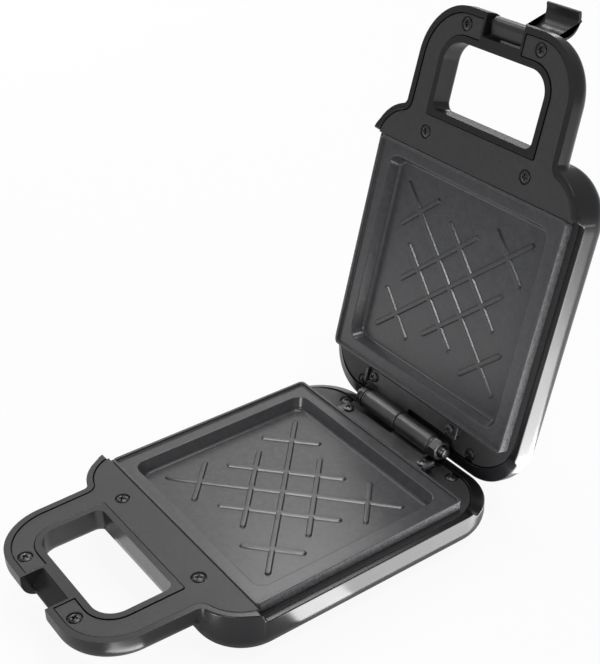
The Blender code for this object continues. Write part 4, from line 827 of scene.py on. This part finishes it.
def addScrews():
    # four rows of two on each half, each screw turned on from the last one so that their crosses differ
    f = innerFrame
    panelSeat, ledgeSeat = f["panelTop"] - f["recessDepth"], f["ledgeTop"] - f["recessDepth"]
    rows = (("grip", f["gripScrew"], panelSeat, "blackened_screw"),
            ("neck", f["neckScrew"], panelSeat, "blackened_screw"),
            ("rear", f["rearScrew"], ledgeSeat, "blackened_screw"),
            ("hinge", (f["leafScrewX"], f["leafScrewY"]), screws["leafSeat"], "dark_steel"))
    turn = screws["firstTurn"]
    for half, sides in (("base", ("left", "right")), ("lid", ("right", "left"))):
        for row, (x, y), seat, slot in rows:
            for side, name in zip((-1, 1), sides):
                turn += screws["nextTurn"]
                addPiece(f"{half}{row.capitalize()}Screw{name.capitalize()}", screwShell(side * x, y, seat, turn), half,
                         f"{half}_{row}_screw_{name}", slot, sharp=40)


addScrews()
print("screws placed")


# Hinge: two leaves with rolled knuckles, bolt, washers, nut

hingeParts = {
    "thick": 1.6, "halfWidth": 35.0, "front": 60.25, "depth": 7.8, "low": -3.1, "barrel": 5.5, "bore": 3.3,
    "seam": 0.3, "length": 25.5, "chamfer": 0.45, "tabHeight": 2.2, "rollEnd": 222, "rollSteps": 60,
    "corner": 0.8, "tabCorner": 0.5, "edge": 0.25,
    "washerRadius": 5.2, "washerStart": 25.8, "washerThick": 1.0, "boltRadius": 3.0, "boltGap": 0.3, "headRadius": 5.6,
    "headHeight": 4.2, "nutStart": 27.1, "nutHeight": 5.2, "nutRadius": 5.8, "nutCone": (4.6, 5.1, 5.45),
    "boltEnd": 3.2, "threadPitch": 0.8, "threadDepth": 0.28,
}
onHinge = alongX(hinge["axisY"], hinge["axisZ"])


def knuckleShell():
    # strap rolled round the bore: its section is a thick spiral whose end meets the strap's top
    g = hingeParts
    y, z, steps = hinge["axisY"], hinge["axisZ"], g["rollSteps"]
    outer = arc((y, z), g["barrel"], -90, g["rollEnd"], steps)
    inner = arc((y, z), g["bore"], g["rollEnd"], -90, steps)
    low, strapRear = g["low"], g["front"] + g["depth"] - 0.5
    closing = np.array([[y - 0.6, z - g["bore"] - 0.25], [strapRear, low + g["thick"]], [strapRear, low]])
    section = np.concatenate([outer, inner, closing])
    stack = []
    for x, shrink in ((g["seam"], g["chamfer"]), (g["seam"] + g["chamfer"], 0.0), (g["length"] - g["chamfer"], 0.0),
                      (g["length"], g["chamfer"])):
        ring = section.copy()
        ring[:steps + 1] = (y, z) + (ring[:steps + 1] - (y, z)) * (1 - shrink / g["barrel"])
        stack.append(np.insert(ring, 0, x, axis=1))
    return rings(stack)


def leafShell():
    # flat strap, upright tab at its right end, and the knuckle
    g = hingeParts
    half, front, rear, low = g["halfWidth"], g["front"], g["front"] + g["depth"], g["low"]
    top = low + g["thick"]
    strap = boxShell((-half, front, low), (half, rear, top), g["corner"], g["edge"])
    tab = boxShell((half - g["thick"], front + 0.1, low + 0.3), (half, rear - 0.1, top + g["tabHeight"]),
                   g["tabCorner"], g["edge"])
    return together(strap, tab, knuckleShell())


def threaded(start, end, radius):
    # profile of a thread drawn as rings: root, then a short crest, once each pitch
    pitch, root = hingeParts["threadPitch"], radius - hingeParts["threadDepth"]
    count = int((end - start) / pitch)
    profile = []
    for turn in range(count):
        z = start + turn * pitch
        profile += [(root, z), (radius, z + pitch * 0.4), (radius, z + pitch * 0.6)]
    return profile + [(root, start + count * pitch)]


def boltShell():
    # head with a dished face and a groove, shaft, thread and tip, turned about the hinge axis
    g = hingeParts
    head, tip = -g["nutStart"], g["nutStart"] + g["nutHeight"] + g["boltEnd"]
    face, r, shaft = head - g["headHeight"], g["headRadius"], g["boltRadius"]
    profile = [(0, face), (1.2, face), (1.5, face + 0.3), (2.4, face + 0.3), (2.7, face), (r - 1.2, face),
               (r - 0.4, face + 0.35), (r - 0.15, face + 0.9), (r - 0.15, head - 2.1), (r - 0.45, head - 1.95),
               (r - 0.45, head - 1.65), (r, head - 1.5), (r, head - 0.3), (r - 0.3, head), (shaft, head)]
    profile += threaded(g["nutStart"] - 1.6, tip - 0.8, shaft)
    profile += [(shaft - 0.5, tip - 0.1), (shaft - 0.8, tip), (0, tip)]
    return revolved(profile, 64, onHinge)


def washerShell(side):
    # flat ring with chamfered outer edges, turned about the hinge axis
    g = hingeParts
    start, r, bore = g["washerStart"], g["washerRadius"], g["boltRadius"] + g["boltGap"]
    end = start + g["washerThick"]
    profile = [(bore, start), (r - 0.2, start), (r, start + 0.2), (r, end - 0.2), (r - 0.2, end), (bore, end),
               (bore, start)]
    return revolved([(radius, height * side) for radius, height in profile], 64, onHinge)


def nutShell():
    # hexagon whose corners are cut by a cone: radius is the smaller of flat distance and cone
    g = hingeParts
    angle = np.linspace(0, 2 * math.pi, 96, endpoint=False)
    sixth = math.pi / 3
    hexagon = g["nutRadius"] * math.cos(sixth / 2) / np.cos((angle + sixth / 2) % sixth - sixth / 2)
    start, end = g["nutStart"], g["nutStart"] + g["nutHeight"]
    face, low, high = (np.minimum(hexagon, radius) for radius in g["nutCone"])
    bore = np.full_like(angle, g["boltRadius"] + g["boltGap"])
    sections = ((bore, start + 0.02), (face, start + 0.02), (low, start + 0.1), (high, start + 0.35),
                (hexagon, start + 0.7), (hexagon, end - 0.7), (high, end - 0.35), (low, end - 0.1), (face, end),
                (bore + 0.3, end), (bore, end - 0.4))
    return rings([np.stack([np.full_like(angle, x), hinge["axisY"] + radius * np.cos(angle),
                            hinge["axisZ"] + radius * np.sin(angle)], axis=1) for radius, x in sections], endless=True)


addHalves("HingeLeaf", leafShell(), "hinge_leaf", "dark_steel")
addPiece("hingeBolt", boltShell(), "base", "hinge_bolt", "dark_steel", nutSteel)
addPiece("hingeWasherLeft", washerShell(-1), "base", "hinge_washer_left", "dark_steel")
addPiece("hingeWasherRight", washerShell(1), "base", "hinge_washer_right", "dark_steel")
addPiece("hingeNut", nutShell(), "base", "hinge_nut", "dark_steel", nutSteel)
print("hinge placed")


# Latch clip in its shut place, turned open with the latch's own angle

clip = {
    "halfWidth": 10.75, "rootRadius": 3.4, "thick": 1.8, "standoff": 0.5, "toothReach": 1.7, "toothFlat": 0.6,
    "toothLength": 2.9, "reach": 24.5, "curlRadius": 7.6, "curlEnd": 72.5,
    "ridge": 1.0, "ridgePlace": 99.0, "ridgeHalf": 5.0,     # height, then degrees round the curl
    "footRadius": 2.2, "catchGap": 0.3, "edge": 0.45, "pinRadius": 1.5, "pinHalf": 14.6, "pinChamfer": 0.2,
}


def clipShell():
    # J-shaped section, barrel, back, curl with a cos-squared ridge, tip, face and tooth, carried along X;
    # the end rings shrink by a quarter circle so that the side edges are round
    c = clip
    inner = housing["handleFront"] - c["standoff"]
    outer = inner - c["thick"]
    y, z, root, turnedFoot = latch["pinY"], latch["pinZ"], c["rootRadius"], c["footRadius"]
    bar = 2 * hinge["axisZ"] - housing["barZ"] + housing["barRadius"] + c["catchGap"]
    curl = np.array([inner + c["curlRadius"], c["reach"] + z])
    reach, place, half, end = c["curlRadius"] + c["thick"], c["ridgePlace"], c["ridgeHalf"], c["curlEnd"]
    barrel = arc((y, z), root, 100, -90, 28)
    foot = arc((outer + turnedFoot, z - root + turnedFoot), turnedFoot, 270, 180, 8)
    back = arc(curl, reach, 180, place + half + 1, 26)
    swell = np.linspace(place + half, place - half, 9)
    lift = reach + c["ridge"] * np.cos(np.radians((swell - place) * 90 / half)) ** 2
    ridge = onCircle(curl, lift[:, None], swell)
    tail = arc(curl, reach, place - half - 1, end, 8)
    tipCentre = onCircle(curl, c["curlRadius"] + c["thick"] / 2, np.array([end]))[0]
    tip = arc(tipCentre, c["thick"] / 2, end, end - 180, 8)[1:-1]
    face = arc(curl, c["curlRadius"], end, 180, 30)
    bite, neck = inner + c["toothReach"], z + root
    tooth = np.array([[inner, bar + c["toothLength"]], [bite - 0.2, bar + c["toothFlat"] + 0.3],
                      [bite, bar + c["toothFlat"]], [bite, bar + 0.2], [bite - 0.2, bar], [inner + 0.3, bar],
                      [inner, bar - 0.3], [inner, neck + 1.0], [inner + 0.35, neck + 0.3], [inner + 1.0, neck - 0.02]])
    section = np.concatenate([barrel, foot, back, ridge, tail, tip, face, tooth])
    left = [np.insert(grown(section, -c["edge"] * s), 0, c["edge"] * k - c["halfWidth"], axis=1) for k, s in bend(4)]
    return rings(left + [ring * (-1, 1, 1) for ring in left[::-1]])


def pinShell():
    # plain rod with chamfered ends, turned about the pin's axis
    half, radius, chamfer = clip["pinHalf"], clip["pinRadius"], clip["pinChamfer"]
    return revolved([(0, -half), (radius - chamfer, -half), (radius, chamfer - half), (radius, half - chamfer),
                     (radius - chamfer, half), (0, half)], 32, alongX(latch["pinY"], latch["pinZ"]))


addPiece("latchClip", clipShell(), "latch", "latch_clip", "gloss_black", clipGloss)
addPiece("latchPin", pinShell(), "lid", "latch_pin", "dark_steel")
print("latch placed")


# Feet, cord inlet, lamps

smallParts = {
    "footX": 40.0, "footFront": -51.25, "footRear": 61.1, "footRadius": 6.5, "footHeight": 3.5, "ground": -28.0,
    "glandRadius": 3.9, "glandFlange": 4.5, "glandBore": 3.1, "lampRadius": 3.4, "lampProud": 1.0,
}


def footShell(x, y):
    # rubber foot turned about Z: screw dimple, groove, rounded rim, and the stud that goes into the floor
    r, top = smallParts["footRadius"], smallParts["footHeight"]
    profile = [(0, 0.35), (1.6, 0.35), (2.0, 0.05), (2.4, 0.0), (3.9, 0.0), (4.1, 0.25), (4.5, 0.25), (4.7, 0.0),
               (r - 1.1, 0.0), (r - 0.6, 0.15), (r - 0.2, 0.6), (r, 1.2), (r, top - 0.5), (r - 0.2, top - 0.25),
               (2.4, top - 0.25), (2.4, top + 2.2), (0, top + 2.2)]
    return revolved(profile, 56, at(x, y, smallParts["ground"]))


def glandShell():
    # bush with a rounded flange outside and two ribs in its bore, turned about the inlet's axis
    bore, r, flange = (smallParts[key] for key in ("glandBore", "glandRadius", "glandFlange"))
    profile = [(bore, 1.0), (bore + 0.25, 1.1), (flange - 0.35, 1.1), (flange - 0.05, 0.85), (flange, 0.35), (r, 0.3),
               (r, -4.1), (bore + 0.2, -4.2), (bore, -4.0), (bore, -2.6), (bore + 0.25, -2.4), (bore, -2.2),
               (bore, -0.8), (bore + 0.25, -0.6), (bore, -0.4), (bore, 1.0)]
    return revolved(profile, 56, throughRear)


def lensShell(side):
    # dome with two fine rings, flange inside the wall, turned about Z
    r, wall = smallParts["lampRadius"], -housing["floor"]
    out = wall - smallParts["lampProud"]
    profile = [(0, 1.5), (r + 1.2, 1.5), (r + 1.2, 0.3), (r, 0.3), (r, wall - 0.05), (r - 0.25, wall - 0.4),
               (r - 0.8, out + 0.25), (r - 1.0, out + 0.3), (r - 1.2, out + 0.15), (r - 1.9, out + 0.05),
               (r - 2.05, out + 0.12), (r - 2.2, out + 0.02), (0, out)]
    x, y = housing["lamps"]
    return revolved(profile, 56, at(side * x, y, housing["floor"] - housing["depth"]))


for end in ("front", "rear"):
    for side, word in ((-1, "left"), (1, "right")):
        addPiece(f"foot{end.capitalize()}{word.capitalize()}",
                 footShell(side * smallParts["footX"], smallParts[f"foot{end.capitalize()}"]), "base",
                 f"foot_{end}_{word}", "foot_rubber")
addPiece("cordGland", glandShell(), "base", "cord_gland", "foot_rubber")
addPiece("powerLampLens", lensShell(-1), "lid", "power_lamp_lens", "red_lens")
addPiece("readyLampLens", lensShell(1), "lid", "ready_lamp_lens", "green_lens")
print("feet, inlet and lamps placed")


# Inner CAD nodes keep their shape and take a finish

for part in frame["record"]["subparts"]:
    mesh = nodes[part["node"]].data
    mesh.materials.clear()
    mesh.materials.append(finishes[part["material_slot"]])
print("inner nodes finished")


# Floor, light, camera; lengths in metres

studio = {
    "floorSize": 6.0, "floorGlow": 0.92, "floorColour": (0.8, 0.8, 0.8, 1), "skyColour": (0.92, 0.95, 1.0, 1),
    "worldLevel": 0.25, "glossLevel": 0.3,
    "lights": (     # name, place, target, size, watts
        ("key", (-0.556, 0.393, 1.28), (0, 0, 0.05), (0.20, 0.95), 5.0),
        ("back", (-1.23, 0.57, 0.98), (0, 0, 0.05), (0.9, 0.8), 2.3),
        ("top", (0.15, 0.50, 1.50), (0, 0, 0.05), (0.5, 0.3), 2.6),
        ("left", (-1.00, -0.10, 1.00), (0, 0, 0.10), (0.25, 0.45), 2.0),
        ("fill", (-0.80, -1.20, 0.60), (0, 0, 0.12), (1.0, 0.8), 0.5),
        # edge lights: they draw the thin lines along ribs, lips and rims
        ("front", (0.63, -1.04, 0.47), (0, 0, 0.03), (0.32, 0.22), 4.6),
        ("right", (0.555, 0.127, 1.27), (0, 0.085, 0.10), (0.24, 0.24), 3.6),
        ("backLow", (-1.05, 1.17, 0.50), (0, 0.12, 0.20), (0.7, 0.25), 2.2),
        ("leftLow", (-1.25, 0.15, 0.13), (0, 0.05, 0.08), (0.30, 0.22), 2.6),
    ),
    "panelHeight": 0.004,
    "panels": (     # parts of the lit table, seen in the gloss of the walls: name, place, size, watts, long side
        ("tableSide", (0.094, 0.0575), (0.036, 0.165), 0.10, (0, 1, 0)),
        ("tableCorner", (0.094, -0.040), (0.036, 0.030), 0.038, (0, 1, 0)),
        ("tableHandle", (0.061, -0.137), (0.014, 0.030), 0.009, (0, 1, 0)),
        ("tableRear", (0.266, 0.194), (0.16, 0.44), 1.8, (0.76, 0.65, 0)),
        ("tableWindow", (-0.005, -0.11), (0.06, 0.05), 0.008, (0, 1, 0)),
        ("tableLeft", (-0.38, -0.34), (0.22, 0.60), 0.3, (0.7, 0.7, 0)),
    ),
}
camera = {
    "place": (0.406457, -0.293814, 0.409819), "azimuth": 54.7045, "elevation": 31.2489, "roll": -1.0797,
    "lens": 68.496,
}


def makeFloor():
    # matte, but mostly white light to the camera, which leaves a faint shadow
    mesh = bpy.data.meshes.new("floor")
    s = studio["floorSize"] / 2
    mesh.from_pydata([(-s, -s, 0), (s, -s, 0), (s, s, 0), (-s, s, 0)], [], [(0, 1, 2, 3)])
    thing = bpy.data.objects.new("floor", mesh)
    scene.collection.objects.link(thing)
    material, tree, shader = startMaterial("paleFloor", 0.9, **{"Base Color": studio["floorColour"]})
    seen = node(tree, "ShaderNodeLightPath").outputs["Is Camera Ray"]
    glow = node(tree, "ShaderNodeEmission", {"Color": (1, 1, 1, 1), "Strength": 1.0})
    mix = node(tree, "ShaderNodeMixShader", {0: mathNode(tree, "MULTIPLY", seen, studio["floorGlow"]),
                                             1: shader.outputs[0], 2: glow.outputs[0]})
    feed(tree, tree.nodes["Material Output"], {"Surface": mix.outputs[0]})
    thing.data.materials.append(material)


def makeWorld():
    # white to the camera, a weaker white in reflections, soft light for everything else
    world = bpy.data.worlds.new("studio")
    scene.world = world
    world.use_nodes = True
    tree = world.node_tree
    tree.nodes.clear()
    rays = node(tree, "ShaderNodeLightPath").outputs
    seen, glossy = rays["Is Camera Ray"], rays["Is Glossy Ray"]
    whiteLevel = mathNode(tree, "MAXIMUM", seen, mathNode(tree, "MULTIPLY", glossy, studio["glossLevel"]))
    soft = node(tree, "ShaderNodeBackground", {"Color": studio["skyColour"], "Strength": studio["worldLevel"]})
    white = node(tree, "ShaderNodeBackground", {"Color": (1, 1, 1, 1), "Strength": whiteLevel})
    mix = node(tree, "ShaderNodeMixShader", {0: mathNode(tree, "MAXIMUM", seen, glossy), 1: soft.outputs[0],
                                             2: white.outputs[0]})
    node(tree, "ShaderNodeOutputWorld", {"Surface": mix.outputs[0]})


def standing(thing, right, up, away, place):
    # the object's own X, Y and Z lie along right, up and away
    thing.matrix_world = Matrix([*zip(right, up, away, place), (0, 0, 0, 1)])
    scene.collection.objects.link(thing)


def addLight(name, place, target, size, energy, along=(0, 0, 1)):
    # area light that shines from place to target, its second side as near along as that allows
    data = bpy.data.lights.new(name, "AREA")
    data.shape, data.size, data.size_y, data.energy = "RECTANGLE", size[0], size[1], energy
    thing = bpy.data.objects.new(name, data)
    away = np.array(place, float) - np.array(target, float)
    away /= np.linalg.norm(away)
    side = np.cross(along, away)
    side /= np.linalg.norm(side)
    standing(thing, side, np.cross(away, side), away, place)
    thing.visible_camera = False


def makeCamera():
    # backward axis (sin a cos e, -cos a cos e, sin e), the other two level and upright, then rolled about it
    azimuth, elevation, roll = (math.radians(camera[key]) for key in ("azimuth", "elevation", "roll"))
    back = np.array([math.sin(azimuth) * math.cos(elevation), -math.cos(azimuth) * math.cos(elevation),
                     math.sin(elevation)])
    right = np.cross((0, 0, 1.0), back)
    right /= np.linalg.norm(right)
    up = np.cross(back, right)
    data = bpy.data.cameras.new("photoView")
    data.lens, data.sensor_width, data.clip_start = camera["lens"], 36.0, 0.01
    thing = bpy.data.objects.new("photoView", data)
    standing(thing, math.cos(roll) * right + math.sin(roll) * up, math.cos(roll) * up - math.sin(roll) * right,
             back, camera["place"])
    scene.camera = thing


scene.view_settings.view_transform = "Standard"
makeFloor()
makeWorld()
for light in studio["lights"]:
    addLight(*light)
for name, (x, y), size, energy, along in studio["panels"]:
    addLight(name, (x, y, studio["panelHeight"]), (x, y, 1.0), size, energy, along)
makeCamera()
print("stage, lights and camera set")
